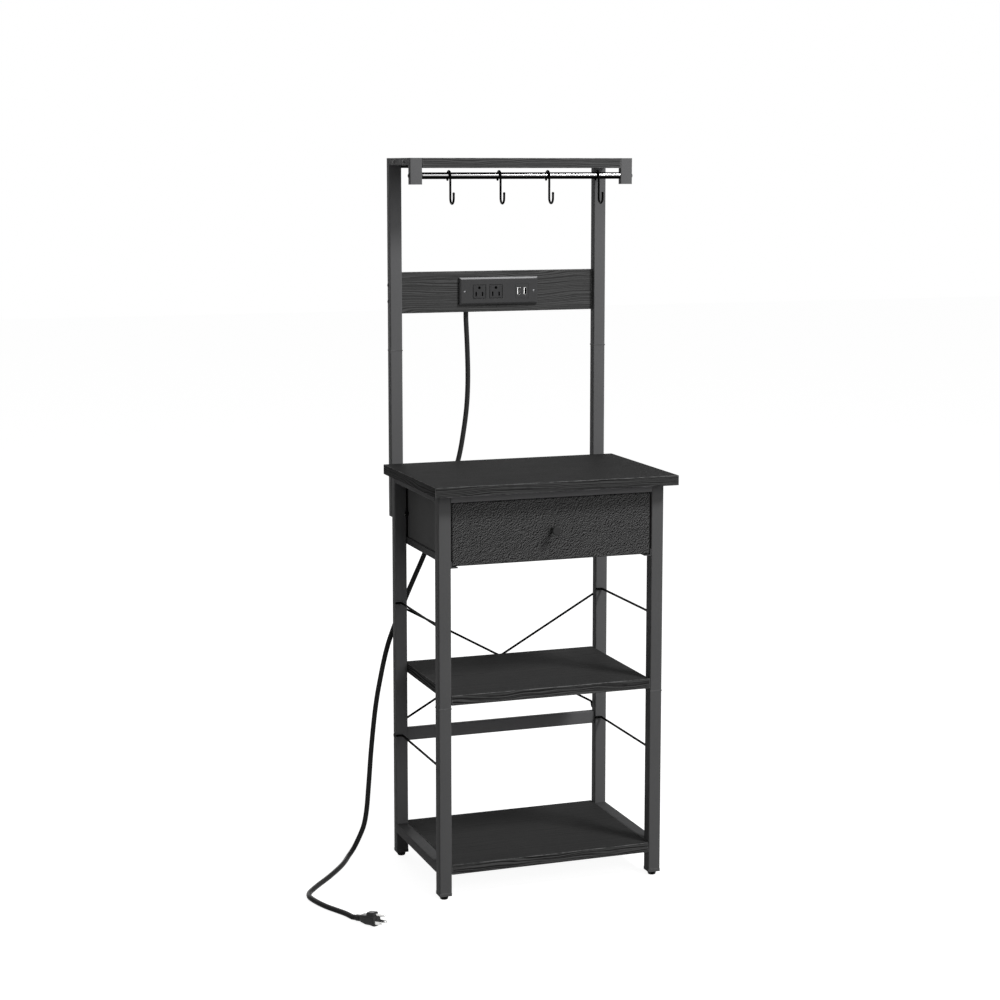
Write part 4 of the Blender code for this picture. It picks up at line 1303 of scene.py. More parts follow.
@dataclass(frozen=True)
class MainsCord:
    """The cord: down behind the rack, then along the floor to the front left."""

    radius: float = 0.0047
    length: float = 1.4529
    span_steps: int = 40
    step: float = 0.0075
    exit: Point = (-0.0577, 0.1658, 1.0244)
    tail: Point = (-0.3792, -0.1875, 0.0064)
    heading: float = math.radians(-58.0)
    pitch: float = math.radians(7.5)
    route: tuple[Point, ...] = (
        (-0.0552, 0.1655, 0.957),
        (-0.0541, 0.1655, 0.899),
        (-0.0562, 0.1655, 0.851),
        (-0.0622, 0.1655, 0.8035),
        (-0.0743, 0.1655, 0.743),
        (-0.1045, 0.1655, 0.660),
        (-0.1405, 0.1655, 0.571),
        (-0.1628, 0.1655, 0.523),
        (-0.1796, 0.1655, 0.486),
        (-0.2134, 0.1655, 0.403),
        (-0.2312, 0.1655, 0.329),
        (-0.2395, 0.1655, 0.282),
        (-0.2486, 0.1655, 0.202),
        (-0.2542, 0.1655, 0.134),
        (-0.2592, 0.1657, 0.080),
        (-0.2645, 0.1668, 0.052),
        (-0.2738, 0.1665, 0.0305),
        (-0.2871, 0.1570, 0.0137),
        (-0.3036, 0.1360, 0.0062),
        (-0.3244, 0.0990, 0.0050),
        (-0.3634, 0.0432, 0.0050),
        (-0.4050, -0.0085, 0.0050),
        (-0.4241, -0.0365, 0.0050),
        (-0.4285, -0.0550, 0.0050),
        (-0.4262, -0.0720, 0.0050),
        (-0.4146, -0.1095, 0.0050),
        (-0.3920, -0.1560, 0.0051),
        (-0.3876, -0.1690, 0.0054),
    )

    def direction(self) -> Vector:
        """Give the way the cord's end and its plug point."""
        level = math.cos(self.pitch)
        return Vector((
            level * math.cos(self.heading), level * math.sin(self.heading), math.sin(self.pitch),
        ))

    def curve_point(self, four: Sequence[Vector], knots: Sequence[float], here: float) -> Vector:
        """Read the centripetal curve through four points.

        Args:
            four: The points.
            knots: Their knot values.
            here: The knot value that is read.

        Returns:
            The place there.
        """

        def between(one: Vector, two: Vector, low: int, high: int) -> Vector:
            """Mix two places by where the read value lies between two knots."""
            return one + (two - one) * ((here - knots[low]) / (knots[high] - knots[low]))

        near = between(four[0], four[1], 0, 1)
        middle = between(four[1], four[2], 1, 2)
        far = between(four[2], four[3], 2, 3)
        return between(between(near, middle, 0, 2), between(middle, far, 1, 3), 1, 2)

    def samples(self) -> list[Vector]:
        """Give closely spaced points of the whole line.

        Returns:
            The points.
        """
        start = Vector(self.exit)
        tail = Vector(self.tail)
        straight = 2 * self.radius
        line = [start, start - Vector((0.0, 0.0, straight))]
        line += [Vector(point) for point in self.route]
        line += [tail - self.direction() * straight, tail]
        padded = [2 * line[0] - line[1], *line, 2 * line[-1] - line[-2]]
        found = []
        for four in zip(padded, padded[1:], padded[2:], padded[3:]):
            knots = [0.0]
            for one, two in zip(four, four[1:]):
                knots.append(knots[-1] + math.sqrt((two - one).length))
            for step in range(self.span_steps):
                here = knots[1] + (knots[2] - knots[1]) * step / self.span_steps
                found.append(self.curve_point(four, knots, here))
        return [*found, tail]

    def line(self) -> list[Vector]:
        """Give the cord's line in even steps, its first and last spans straight.

        Returns:
            The points.
        """
        samples = self.samples()
        between = samples[self.span_steps:len(samples) - self.span_steps]
        total = sum((two - one).length for one, two in zip(between, between[1:]))
        count = round(total / self.step)
        kept = [between[0]]
        walked = 0.0
        for one, two in zip(between, between[1:]):
            reach = (two - one).length
            while len(kept) < count and walked + reach >= len(kept) * total / count:
                kept.append(one.lerp(two, (len(kept) * total / count - walked) / reach))
            walked += reach
        return [samples[0], *kept, between[-1], samples[-1]]

    def build(self, fitter: Fitter) -> bpy.types.Object:
        """Make the cord as a curve of one open line.

        Args:
            fitter: What puts it on the rack.

        Returns:
            The cord.
        """
        curve = bpy.data.curves.new("mains_cord", "CURVE")
        curve.dimensions = "3D"
        curve.bevel_depth = self.radius
        curve.bevel_resolution = 5
        curve.use_fill_caps = True
        points = self.line()
        spline = curve.splines.new("POLY")
        spline.points.add(len(points) - 1)
        for place, point in zip(spline.points, points):
            place.co = (*point, 1.0)
        cord = bpy.data.objects.new("mains_cord", curve)
        bpy.context.scene.collection.objects.link(cord)
        return fitter.settle(cord, CORD_RUBBER, Body.RACK, ("cord",))


@dataclass(frozen=True)
class StrainRelief:
    """The ribbed, tapered sleeve under the outlet housing."""

    place: Point = (-0.0577, 0.1658, 1.0447)
    top_radius: float = 0.0073
    neck_radius: float = 0.0065
    tip_radius: float = 0.0054
    collar: float = 0.003
    length: float = 0.020
    ribs: int = 5
    groove: float = 0.0007

    def build(self, fitter: Fitter) -> bpy.types.Object:
        """Make the sleeve.

        Args:
            fitter: What puts it on the rack.

        Returns:
            The sleeve.
        """
        profile = [
            (0.0, 0.0),
            (self.top_radius, 0.0),
            (self.top_radius, self.collar * 0.75),
            (self.top_radius - 0.0004, self.collar),
            (self.neck_radius, self.collar),
        ]
        run = self.length - self.collar - 0.001
        for rib in range(self.ribs):
            low = self.collar + 0.001 + run * rib / self.ribs
            pitch = run / self.ribs
            share = rib / self.ribs
            radius = self.neck_radius + (self.tip_radius - self.neck_radius) * share
            profile += [
                (radius, low),
                (radius, low + pitch * 0.50),
                (radius - self.groove, low + pitch * 0.58),
                (radius - self.groove, low + pitch * 0.90),
            ]
        profile += [(self.tip_radius, self.length), (0.0, self.length)]
        shape = lathe(profile, Axis.DOWN.value, self.place, 32)
        return fitter.piece(
            "cord_strain_relief", shape, CORD_RUBBER, Body.RACK, ("cord_gland",),
        )


@dataclass(frozen=True)
class MainsPlug:
    """The grounded plug: a ribbed tail, a flared body with a grip hump, two blades and a pin."""

    cord: MainsCord
    gap: float = 0.0003
    tail_length: float = 0.013
    tail_radius: float = 0.0058
    body_length: float = 0.0345
    rear: tuple[float, float, float] = (0.0145, -0.0060, 0.0078)
    waist: tuple[float, float, float] = (0.0165, -0.0086, 0.0080)
    face: tuple[float, float, float] = (0.0193, -0.0104, 0.0080)
    hump_width: float = 0.0153
    hump_rise: float = 0.0137
    hump_length: float = 0.0215
    blade_length: float = 0.0172
    blade_width: float = 0.0063
    blade_thickness: float = 0.0015
    blade_pitch: float = 0.0127
    blade_drop: float = 0.0032
    pin_radius: float = 0.0024
    pin_length: float = 0.0203
    pin_rise: float = 0.0087

    def frame(self) -> Matrix:
        """Give the matrix from the plug's own axes, +Z along its blades, to the floor."""
        way = self.cord.direction()
        spin = way.to_track_quat("Z", "Y").to_matrix().to_4x4()
        return Matrix.Translation(Vector(self.cord.tail) + way * self.gap) @ spin

    def section(self, width: float, low: float, high: float, height: float) -> list[Vector]:
        """Give one rounded ring of the body.

        Args:
            width: Its whole width.
            low: Its low Y.
            high: Its high Y.
            height: Where it lies along the plug.

        Returns:
            The ring's points.
        """
        half = Vector((width / 2, (high - low) / 2))
        centre = (high + low) / 2
        ring = []
        for step in range(48):
            turn = 2 * math.pi * step / 48
            across = math.copysign(abs(math.cos(turn)) ** 0.42, math.cos(turn))
            upward = math.copysign(abs(math.sin(turn)) ** 0.42, math.sin(turn))
            ring.append(Vector((across * half.x, centre + upward * half.y, height)))
        return ring

    def body_shape(self) -> bmesh.types.BMesh:
        """Make the flared body with its rounded ends, and the grip hump over its front.

        Returns:
            The shape.
        """
        start = self.tail_length
        end = start + self.body_length
        stations = [
            (0.0, self.rear, 0.84),
            (0.0008, self.rear, 0.95),
            (0.0022, self.rear, 1.0),
            (0.0120, self.waist, 1.0),
            (0.0230, self.waist, 1.06),
            (0.0310, self.face, 1.0),
            (0.0332, self.face, 0.985),
            (0.0345, self.face, 0.93),
        ]
        rings = []
        for height, (width, low, high), share in stations:
            limit_low = max(low * share, self.face[1])
            rings.append(self.section(
                min(width * share, self.face[0]), limit_low, high * min(share, 1.0), start + height,
            ))
        shape = bmesh.new()
        skin_rings(shape, rings, closed=True)
        hump = block(
            (-self.hump_width / 2, 0.0, end - self.hump_length),
            (self.hump_width / 2, self.hump_rise, end - 0.0004),
            0.0, 1,
        )
        for vert in hump.verts:
            if vert.co.y > 0.001:
                rear = vert.co.z < end - self.hump_length / 2
                vert.co.z += 0.0035 if rear else -0.0006
                vert.co.x *= 0.86
        bmesh.ops.bevel(
            hump, geom=hump.edges[:], offset=0.0024, segments=4, profile=0.5, affect="EDGES",
        )
        return carve(shape, [hump], "UNION")

    def tail_shape(self) -> bmesh.types.BMesh:
        """Make the ribbed tail that the cord enters.

        Returns:
            The shape.
        """
        profile = [(0.0, 0.0), (self.tail_radius - 0.0006, 0.0), (self.tail_radius - 0.0002, 0.0004)]
        pitch = self.tail_length / 4
        for rib in range(4):
            low = rib * pitch + 0.0004
            radius = self.tail_radius - 0.0002 + 0.0003 * rib / 4
            profile += [
                (radius, low + pitch * 0.45),
                (radius - 0.0010, low + pitch * 0.55),
                (radius - 0.0010, low + pitch * 0.80),
                (radius, low + pitch * 0.88),
            ]
        profile += [(self.tail_radius, self.tail_length + 0.0012), (0.0, self.tail_length + 0.0012)]
        return lathe(profile, Axis.UP.value, (0.0, 0.0, 0.0), 32)

    def blade_shape(self, side: int) -> bmesh.types.BMesh:
        """Make one flat blade with its hole and its narrowed tip.

        Args:
            side: -1 or 1.

        Returns:
            The shape.
        """
        x = side * self.blade_pitch / 2
        face = self.tail_length + self.body_length
        blade = block(
            (x - self.blade_thickness / 2, -self.blade_drop - self.blade_width / 2, face - 0.002),
            (
                x + self.blade_thickness / 2,
                -self.blade_drop + self.blade_width / 2,
                face + self.blade_length,
            ),
            0.00035, 2,
        )
        for vert in blade.verts:
            if vert.co.z > face + self.blade_length - 0.001:
                vert.co.y = -self.blade_drop + (vert.co.y + self.blade_drop) * 0.72
                vert.co.x = x + (vert.co.x - x) * 0.6
        hole = lathe(
            [(0.0, -0.003), (0.0016, -0.003), (0.0016, 0.003), (0.0, 0.003)],
            Axis.RIGHT.value, (x, -self.blade_drop, face + self.blade_length - 0.0043), 24,
        )
        return carve(blade, [hole])

    def build(self, fitter: Fitter) -> list[bpy.types.Object]:
        """Make the plug's pieces.

        Args:
            fitter: What puts them on the rack.

        Returns:
            The pieces.
        """
        face = self.tail_length + self.body_length
        pin = lathe(
            [
                (0.0, 0.0),
                (self.pin_radius, 0.0),
                (self.pin_radius, self.pin_length - 0.0004),
                (self.pin_radius * 0.92, self.pin_length + 0.0006),
                (self.pin_radius * 0.6, self.pin_length + 0.0016),
                (0.0, self.pin_length + 0.0020),
            ],
            Axis.UP.value, (0.0, self.pin_rise, face - 0.002), 32,
        )
        shapes = (
            ("plug_body", self.body_shape(), PLUG_RUBBER, ("plug",)),
            ("plug_tail", self.tail_shape(), PLUG_RUBBER, ()),
            ("plug_blades", merge([self.blade_shape(-1), self.blade_shape(1)]), BRIGHT, ()),
            ("plug_ground_pin", pin, BRIGHT, ()),
        )
        made = []
        for name, shape, finish, stands_for in shapes:
            bmesh.ops.transform(shape, matrix=self.frame(), verts=shape.verts)
            made.append(fitter.piece(
                name, shape, finish, Body.RACK, stands_for,
            ))
        return made


# Fasteners


@dataclass(frozen=True)
class Fastener:
    """A domed head with a hexagonal or crossed recess."""

    radius: float
    rise: float
    recess: float
    cross: bool = False

    def shape(self, place: Sequence[float], way: Axis) -> bmesh.types.BMesh:
        """Make one head.

        Args:
            place: The middle of its seat.
            way: Where it faces.

        Returns:
            The shape.
        """
        profile = [(0.0, -0.0003), (self.radius * 0.94, -0.0003), (self.radius, 0.0001)]
        for step in range(1, 7):
            turn = math.pi / 2 * step / 6
            profile.append((
                self.radius * (math.cos(turn) * 0.62 + 0.38 * (1 - step / 6)),
                0.0001 + (self.rise - 0.0001) * math.sin(turn),
            ))
        profile[-1] = (0.0, self.rise)
        dome = lathe(profile, Axis.UP.value, (0.0, 0.0, 0.0), 36)
        head = carve(dome, self.recess_tools())
        bmesh.ops.transform(head, matrix=turn_to(way.value, place), verts=head.verts)
        return head

    def recess_tools(self) -> list[bmesh.types.BMesh]:
        """Make what cuts the recess.

        Returns:
            The tools.
        """
        low, high = self.rise - self.rise * 0.75, self.rise * 2
        if self.cross:
            arm = self.recess / 3.2
            spans = ((self.recess, arm / 2), (arm / 2, self.recess))
            return [block((-x, -y, low), (x, y, high), 0.0) for x, y in spans]
        profile = [(0.0, low), (self.recess, low), (self.recess, high), (0.0, high)]
        return [lathe(profile, Axis.UP.value, (0.0, 0.0, 0.0), 6)]

    def many(self, places: Iterable[tuple[Sequence[float], Axis]]) -> bmesh.types.BMesh:
        """Make heads at several places as one shape."""
        return merge(self.shape(place, way) for place, way in places)


FRAME_BOLT = Fastener(0.0060, 0.0024, 0.0021)
BOARD_SCREW = Fastener(0.0038, 0.0012, 0.0017, cross=True)
ROD_BOLT = Fastener(0.0048, 0.0022, 0.0017)
PLATE_SCREW = Fastener(0.0021, 0.0006, 0.0011, cross=True)
HOUSING_SCREW = Fastener(0.0026, 0.0009, 0.0013, cross=True)


# The rack's sub-assemblies


@dataclass(frozen=True)
class SteelFrame:
    """Posts, rails, arms and brackets, with their seams, glides and bolts."""

    half_width: float = 0.213
    post_width: float = 0.023
    front: tuple[float, float] = (-0.14255, -0.11955)
    back: tuple[float, float] = (0.11945, 0.13845)
    hutch: tuple[float, float] = (0.13875, 0.15775)
    joint_height: float = 0.3485
    hutch_joint_height: float = 0.9575
    glide_height: float = 0.013
    cap_low: float = 0.0072
    post_low: float = 0.0131
    glide_radius: float = 0.0086
    seam_wall: float = 0.0003
    seam_half: float = 0.0011
    tube_wall: float = 0.002
    hutch_foot: float = 0.648
    cap_inset: float = 0.0021
    frame_bolts: tuple[tuple[float, float], ...] = ((0.1290, 0.2335),)
    board_screws: tuple[tuple[float, float], ...] = (
        (0.0515, 1.3015), (0.1125, 1.3015), (0.1530, 1.0475), (0.1530, 1.0775),
    )
    rod_bolts: tuple[tuple[float, float], ...] = ((0.01875, 1.2775),)

    def build(self, fitter: Fitter) -> None:
        """Dress the tubes and add the small pieces on them.

        Args:
            fitter: What puts them on the rack.
        """
        self.dress_tubes(fitter)
        self.add_seams(fitter)
        self.add_glides(fitter)
        self.add_bolts(fitter)
        self.add_caps(fitter)

    def dress_tubes(self, fitter: Fitter) -> None:
        """Give the tubes and runners that stay their coat: lighter copies for painted light on the back and
        hutch posts, brackets and cross rails, a darker copy for painted shade on the side rails and
        runners.
        """
        for side, _ in SIDES:
            for name in (f"front_post_{side}_lower", f"front_post_{side}_upper", f"arm_{side}"):
                fitter.keep(name, STEEL)
            for name in (
                f"back_post_{side}", f"hutch_post_{side}_lower", f"hutch_post_{side}_upper",
            ):
                fitter.keep(name, BACK_STEEL_PAINTED_LIGHT)
            for name in (f"bottom_rail_{side}", f"top_rail_{side}", f"runner_{side}"):
                fitter.keep(name, RAIL_STEEL_PAINTED_SHADE)
            fitter.keep(f"drop_bracket_{side}", BRACKET_STEEL_PAINTED_LIGHT)
        for name in ("top_rail_front", "top_rail_back", "back_stretcher"):
            fitter.keep(name, CROSS_STEEL_PAINTED_LIGHT)

    def add_seams(self, fitter: Fitter) -> None:
        """Ring each post where its two lengths are pushed together."""
        wall, tall, tube = self.seam_wall, self.seam_half, self.tube_wall
        for label, depth, height in (
            ("front_post", self.front, self.joint_height),
            ("hutch_post", self.hutch, self.hutch_joint_height),
        ):
            for side, sign in SIDES:
                inner = sign * (self.half_width - self.post_width)
                outer = sign * self.half_width
                low_x, high_x = sorted((inner, outer))
                ring = block(
                    (low_x - wall, depth[0] - wall, height - tall),
                    (high_x + wall, depth[1] + wall, height + tall),
                    0.0005, 2,
                )
                core = block(
                    (low_x + tube, depth[0] + tube, height - 0.01),
                    (high_x - tube, depth[1] - tube, height + 0.01),
                    0.0,
                )
                fitter.piece(
                    f"{label}_seam_{side}", carve(ring, [core]), STEEL, Body.RACK,
                )

    def add_glides(self, fitter: Fitter) -> None:
        """Close each post's foot with an end cap and stand it on a tapered round glide."""
        radius = self.glide_radius
        profile = [
            (0.0, 0.0),
            (radius - 0.0032, 0.0),
            (radius - 0.0022, 0.0003),
            (radius - 0.0014, 0.0014),
            (radius - 0.0006, 0.0045),
            (radius, 0.0080),
            (radius, self.glide_height),
            (0.0, self.glide_height),
        ]
        for row, depth in (("front", self.front), ("back", self.back)):
            for side, sign in SIDES:
                place = (
                    sign * (self.half_width - self.post_width / 2), sum(depth) / 2, 0.0,
                )
                fitter.piece(
                    f"foot_{row}_{side}", lathe(profile, Axis.UP.value, place, 36),
                    GLIDE_RUBBER, Body.RACK, (f"glide_{row}_{side}",),
                )
                half = self.post_width / 2
                cap = block(
                    (place[0] - half, depth[0], self.cap_low),
                    (place[0] + half, depth[1], self.post_low), 0.0006, 2,
                )
                fitter.piece(
                    f"end_cap_{row}_{side}", cap, STEEL if row == "front" else BACK_STEEL_PAINTED_LIGHT,
                    Body.RACK,
                )

    def add_bolts(self, fitter: Fitter) -> None:
        """Add the bolt and screw heads on the outer faces."""
        for side, sign in SIDES:
            way = Axis.LEFT if sign < 0 else Axis.RIGHT
            x = sign * self.half_width
            for label, head, places in (
                ("frame_bolts", FRAME_BOLT, self.frame_bolts),
                ("board_screws", BOARD_SCREW, self.board_screws),
                ("rod_bolt", ROD_BOLT, self.rod_bolts),
            ):
                heads = head.many([((x, y, z), way) for y, z in places])
                fitter.piece(f"{label}_{side}", heads, BOLT, Body.RACK)

    def add_caps(self, fitter: Fitter) -> None:
        """Close the hutch posts' feet with moulded caps."""
        half = self.post_width / 2 - self.cap_inset
        middle = sum(self.hutch) / 2
        half_depth = (self.hutch[1] - self.hutch[0]) / 2 - self.cap_inset
        for side, sign in SIDES:
            x = sign * (self.half_width - self.post_width / 2)
            cap = block(
                (x - half, middle - half_depth, self.hutch_foot - 0.0008),
                (x + half, middle + half_depth, self.hutch_foot + 0.0006), 0.0005, 2,
            )
            fitter.piece(
                f"hutch_post_cap_{side}", cap, GLIDE_RUBBER, Body.RACK,
            )


@dataclass(frozen=True)
class Boards:
    """The laminate boards."""

    low: tuple[str, ...] = ("bottom_shelf", "mid_shelf")
    worktop: str = "worktop"
    hutch: tuple[str, ...] = ("top_shelf", "outlet_board")

    def build(self, fitter: Fitter) -> None:
        """Dress the boards.

        Args:
            fitter: What puts them on the rack.
        """
        for name in self.low:
            fitter.keep(name, BOARD)
        # the worktop gets a darker copy of the laminate and the hutch boards a lighter one: painted shade
        # and painted light
        fitter.keep(self.worktop, WORKTOP_BOARD_PAINTED_SHADE)
        for name in self.hutch:
            fitter.keep(name, HUTCH_BOARD_PAINTED_LIGHT)


@dataclass(frozen=True)
class Wires:
    """The guard wires at the sides and the crossed wires behind."""

    radius: float = 0.0021
    post_x: float = 0.2015
    front: float = -0.11925
    back: float = 0.11765
    leg: float = 0.011
    bend: float = 0.0035
    levels: tuple[tuple[str, float], ...] = (("low", 0.2353), ("high", 0.4885))
    brace_y: float = 0.14065
    brace_low: float = 0.253
    brace_high: float = 0.480
    brace_bend: float = 0.262
    brace_leg: tuple[float, float] = (0.0016, -0.0095)
    bay_half: float = 0.190

    def bent(self, start: Vector, corner: Vector, end: Vector, steps: int = 12) -> list[Vector]:
        """Give a line that turns once on an arc.

        Args:
            start: Its start.
            corner: The corner it rounds.
            end: Its end.
            steps: How many steps the arc has.

        Returns:
            The points.
        """
        inward = (start - corner).normalized()
        onward = (end - corner).normalized()
        half = inward.angle(onward) / 2
        reach = self.bend / math.tan(half)
        centre = corner + (inward + onward).normalized() * self.bend / math.sin(half)
        first = corner + inward * reach - centre
        last = corner + onward * reach - centre
        turn = first.angle(last)
        arc = []
        for step in range(steps + 1):
            angle = turn * step / steps
            mixed = first * math.sin(turn - angle) + last * math.sin(angle)
            arc.append(centre + mixed / math.sin(turn))
        return [start, *arc, end]

    def wire(self, fitter: Fitter, name: str, points: Sequence[Vector]) -> None:
        """Make one wire that stands for its CAD node."""
        shape = sweep(points, [self.radius] * len(points))
        fitter.piece(f"{name}_rod", shape, WIRE, Body.RACK, (name,))

    def weld(self, fitter: Fitter, name: str, beads: Iterable[tuple[Vector, Vector]]) -> None:
        """Make the small weld beads at a wire's ends.

        Args:
            fitter: What puts them on the rack.
            name: The wire.
            beads: The middle and the facing of each bead.
        """
        shapes = [
            lathe(
                [
                    (0.0, 0.0016), (0.0012, 0.0014), (0.0020, 0.0008), (0.0026, 0.0002),
                    (0.0028, -0.0002), (0.0, -0.0002),
                ],
                way, place, 20,
            )
            for place, way in beads
        ]
        fitter.piece(f"{name}_weld", merge(shapes), STEEL, Body.RACK)

    def build(self, fitter: Fitter) -> None:
        """Make all the wires.

        Args:
            fitter: What puts them on the rack.
        """
        for side, sign in SIDES:
            x = sign * self.post_x
            for level, height in self.levels:
                name = f"guard_wire_{side}_{level}"
                start = Vector((x, self.front, height))
                corner = Vector((x, self.back, height))
                end = Vector((x - self.leg, self.back, height))
                self.wire(fitter, name, self.bent(start, corner, end))
                self.weld(fitter, name, [(start, Axis.BACK.value)])
        low_left = Vector((-self.post_x, self.brace_y, self.brace_low))
        high_right = Vector((self.post_x, self.brace_y, self.brace_high))
        high_left = Vector((-self.post_x, self.brace_y, self.brace_high))
        bend = Vector((self.bay_half, self.brace_y, self.brace_bend))
        leg_end = bend + Vector((self.brace_leg[0], 0.0, self.brace_leg[1]))
        slope_up = (high_right.z - low_left.z) / (high_right.x - low_left.x)
        slope_down = (bend.z - high_left.z) / (bend.x - high_left.x)
        cross_x = (
            (high_left.z - slope_down * high_left.x - low_left.z + slope_up * low_left.x)
            / (slope_up - slope_down)
        )
        cross_z = low_left.z + slope_up * (cross_x - low_left.x)
        bow = Vector((cross_x, self.brace_y + 2 * self.radius + 0.0001, cross_z))
        self.wire(fitter, "brace_wire_rising", [low_left, high_right])
        self.wire(fitter, "brace_wire_falling", [high_left, *self.bent(bow, bend, leg_end)])
        seat = Vector((0.0, -self.radius, 0.0))
        for name, ends in (
            ("brace_wire_rising", (low_left, high_right)),
            ("brace_wire_falling", (high_left, leg_end)),
        ):
            self.weld(fitter, name, [(place + seat, Axis.BACK.value) for place in ends])


@dataclass(frozen=True)
class Drawer:
    """The drawer: a covered front with its knob, film-faced panels and nylon stops."""

    half_width: float = 0.1875
    face: float = -0.14015
    thickness: float = 0.015
    low: float = 0.6019
    high: float = 0.7139
    edge: float = 0.0026
    panel_low: float = 0.6008
    panel_high: float = 0.7038
    panel_front: float = -0.12485
    panel_back: float = 0.12795
    knob_z: float = 0.6579
    knob_seat: float = -0.14045
    stop_y: float = 0.11545
    stop_z: float = 0.6560

    def build(self, fitter: Fitter) -> None:
        """Make and dress the drawer.

        Args:
            fitter: What puts it on the rack.
        """
        self.add_front(fitter)
        self.add_knob(fitter)
        for name in ("drawer_back", "drawer_bottom", "drawer_side_left", "drawer_side_right"):
            fitter.keep(name, PANEL)
        self.add_stops(fitter)
        self.add_grooves(fitter)
        self.add_shade_strips(fitter)

    def add_front(self, fitter: Fitter) -> None:
        """Cover the front board, its edges softly rounded."""
        shape = block(
            (-self.half_width, self.face, self.low),
            (self.half_width, self.face + self.thickness, self.high), self.edge, 5,
        )
        fitter.piece(
            "drawer_front_cover", shape, LEATHER, Body.DRAWER,
            ("drawer_front",),
        )

    def add_knob(self, fitter: Fitter) -> None:
        """Turn the knob: a narrow neck that flares into a flat round head."""
        profile = [
            (0.0, 0.0),
            (0.0046, 0.0),
            (0.0048, 0.0003),
            (0.0046, 0.0008),
            (0.0036, 0.0012),
            (0.0034, 0.0030),
            (0.0034, 0.0080),
            (0.0037, 0.0100),
            (0.0045, 0.0125),
            (0.0060, 0.0148),
            (0.0073, 0.0157),
            (0.0078, 0.0166),
            (0.0080, 0.0180),
            (0.0080, 0.0195),
            (0.0077, 0.0206),
            (0.0070, 0.0213),
            (0.0062, 0.0215),
            (0.0050, 0.0214),
            (0.0, 0.0212),
        ]
        shape = lathe(profile, Axis.FRONT.value, (0.0, self.knob_seat, self.knob_z), 56)
        fitter.piece(
            "knob", shape, KNOB, Body.DRAWER, ("drawer_knob",),
        )

    def add_stops(self, fitter: Fitter) -> None:
        """Make the stops near the drawer's back, each on a bright screw."""
        profile = [
            (0.0, 0.0), (0.0035, 0.0), (0.0035, 0.0016), (0.0028, 0.0020), (0.0028, 0.0052),
            (0.0035, 0.0056), (0.0035, 0.0067), (0.0031, 0.0071), (0.0, 0.0071),
        ]
        for side, sign in SIDES:
            way = Axis.LEFT if sign < 0 else Axis.RIGHT
            place = (sign * (self.half_width + 0.0003), self.stop_y, self.stop_z)
            fitter.piece(
                f"stop_roller_{side}", lathe(profile, way.value, place, 32), GLIDE_RUBBER,
                Body.DRAWER, (f"drawer_stop_{side}",),
            )
            tip = (sign * (self.half_width + 0.0003 + 0.0069), self.stop_y, self.stop_z)
            fitter.piece(
                f"stop_screw_{side}", PLATE_SCREW.shape(tip, way), BRIGHT, Body.DRAWER,
            )

    def add_grooves(self, fitter: Fitter) -> None:
        """Show the line on each side where the bottom panel is let in."""
        for side, sign in SIDES:
            x = sign * self.half_width
            low_x, high_x = sorted((x - sign * 0.0004, x + sign * 0.0001))
            strip = block(
                (low_x, self.panel_front + 0.0004, self.panel_low + 0.0112),
                (high_x, self.panel_back - 0.0004, self.panel_low + 0.0118), 0.0,
            )
            fitter.piece(
                f"drawer_groove_{side}", strip, NEAR_BLACK_AND_PAINTED_SHADE, Body.DRAWER,
            )

    def add_shade_strips(self, fitter: Fitter) -> None:
        """Put a thin near-black strip upright on each side near the back: painted shade that fills the gap
        beside the back post.
        """
        for side, sign in SIDES:
            low_x, high_x = sorted((sign * self.half_width, sign * (self.half_width + 0.0015)))
            strip = block(
                (low_x, self.stop_y + 0.0040, self.panel_low + 0.0105),
                (high_x, self.panel_back, self.panel_high - 0.0003), 0.0004, 2,
            )
            fitter.piece(
                f"drawer_shade_strip_{side}", strip, NEAR_BLACK_AND_PAINTED_SHADE, Body.DRAWER,
            )


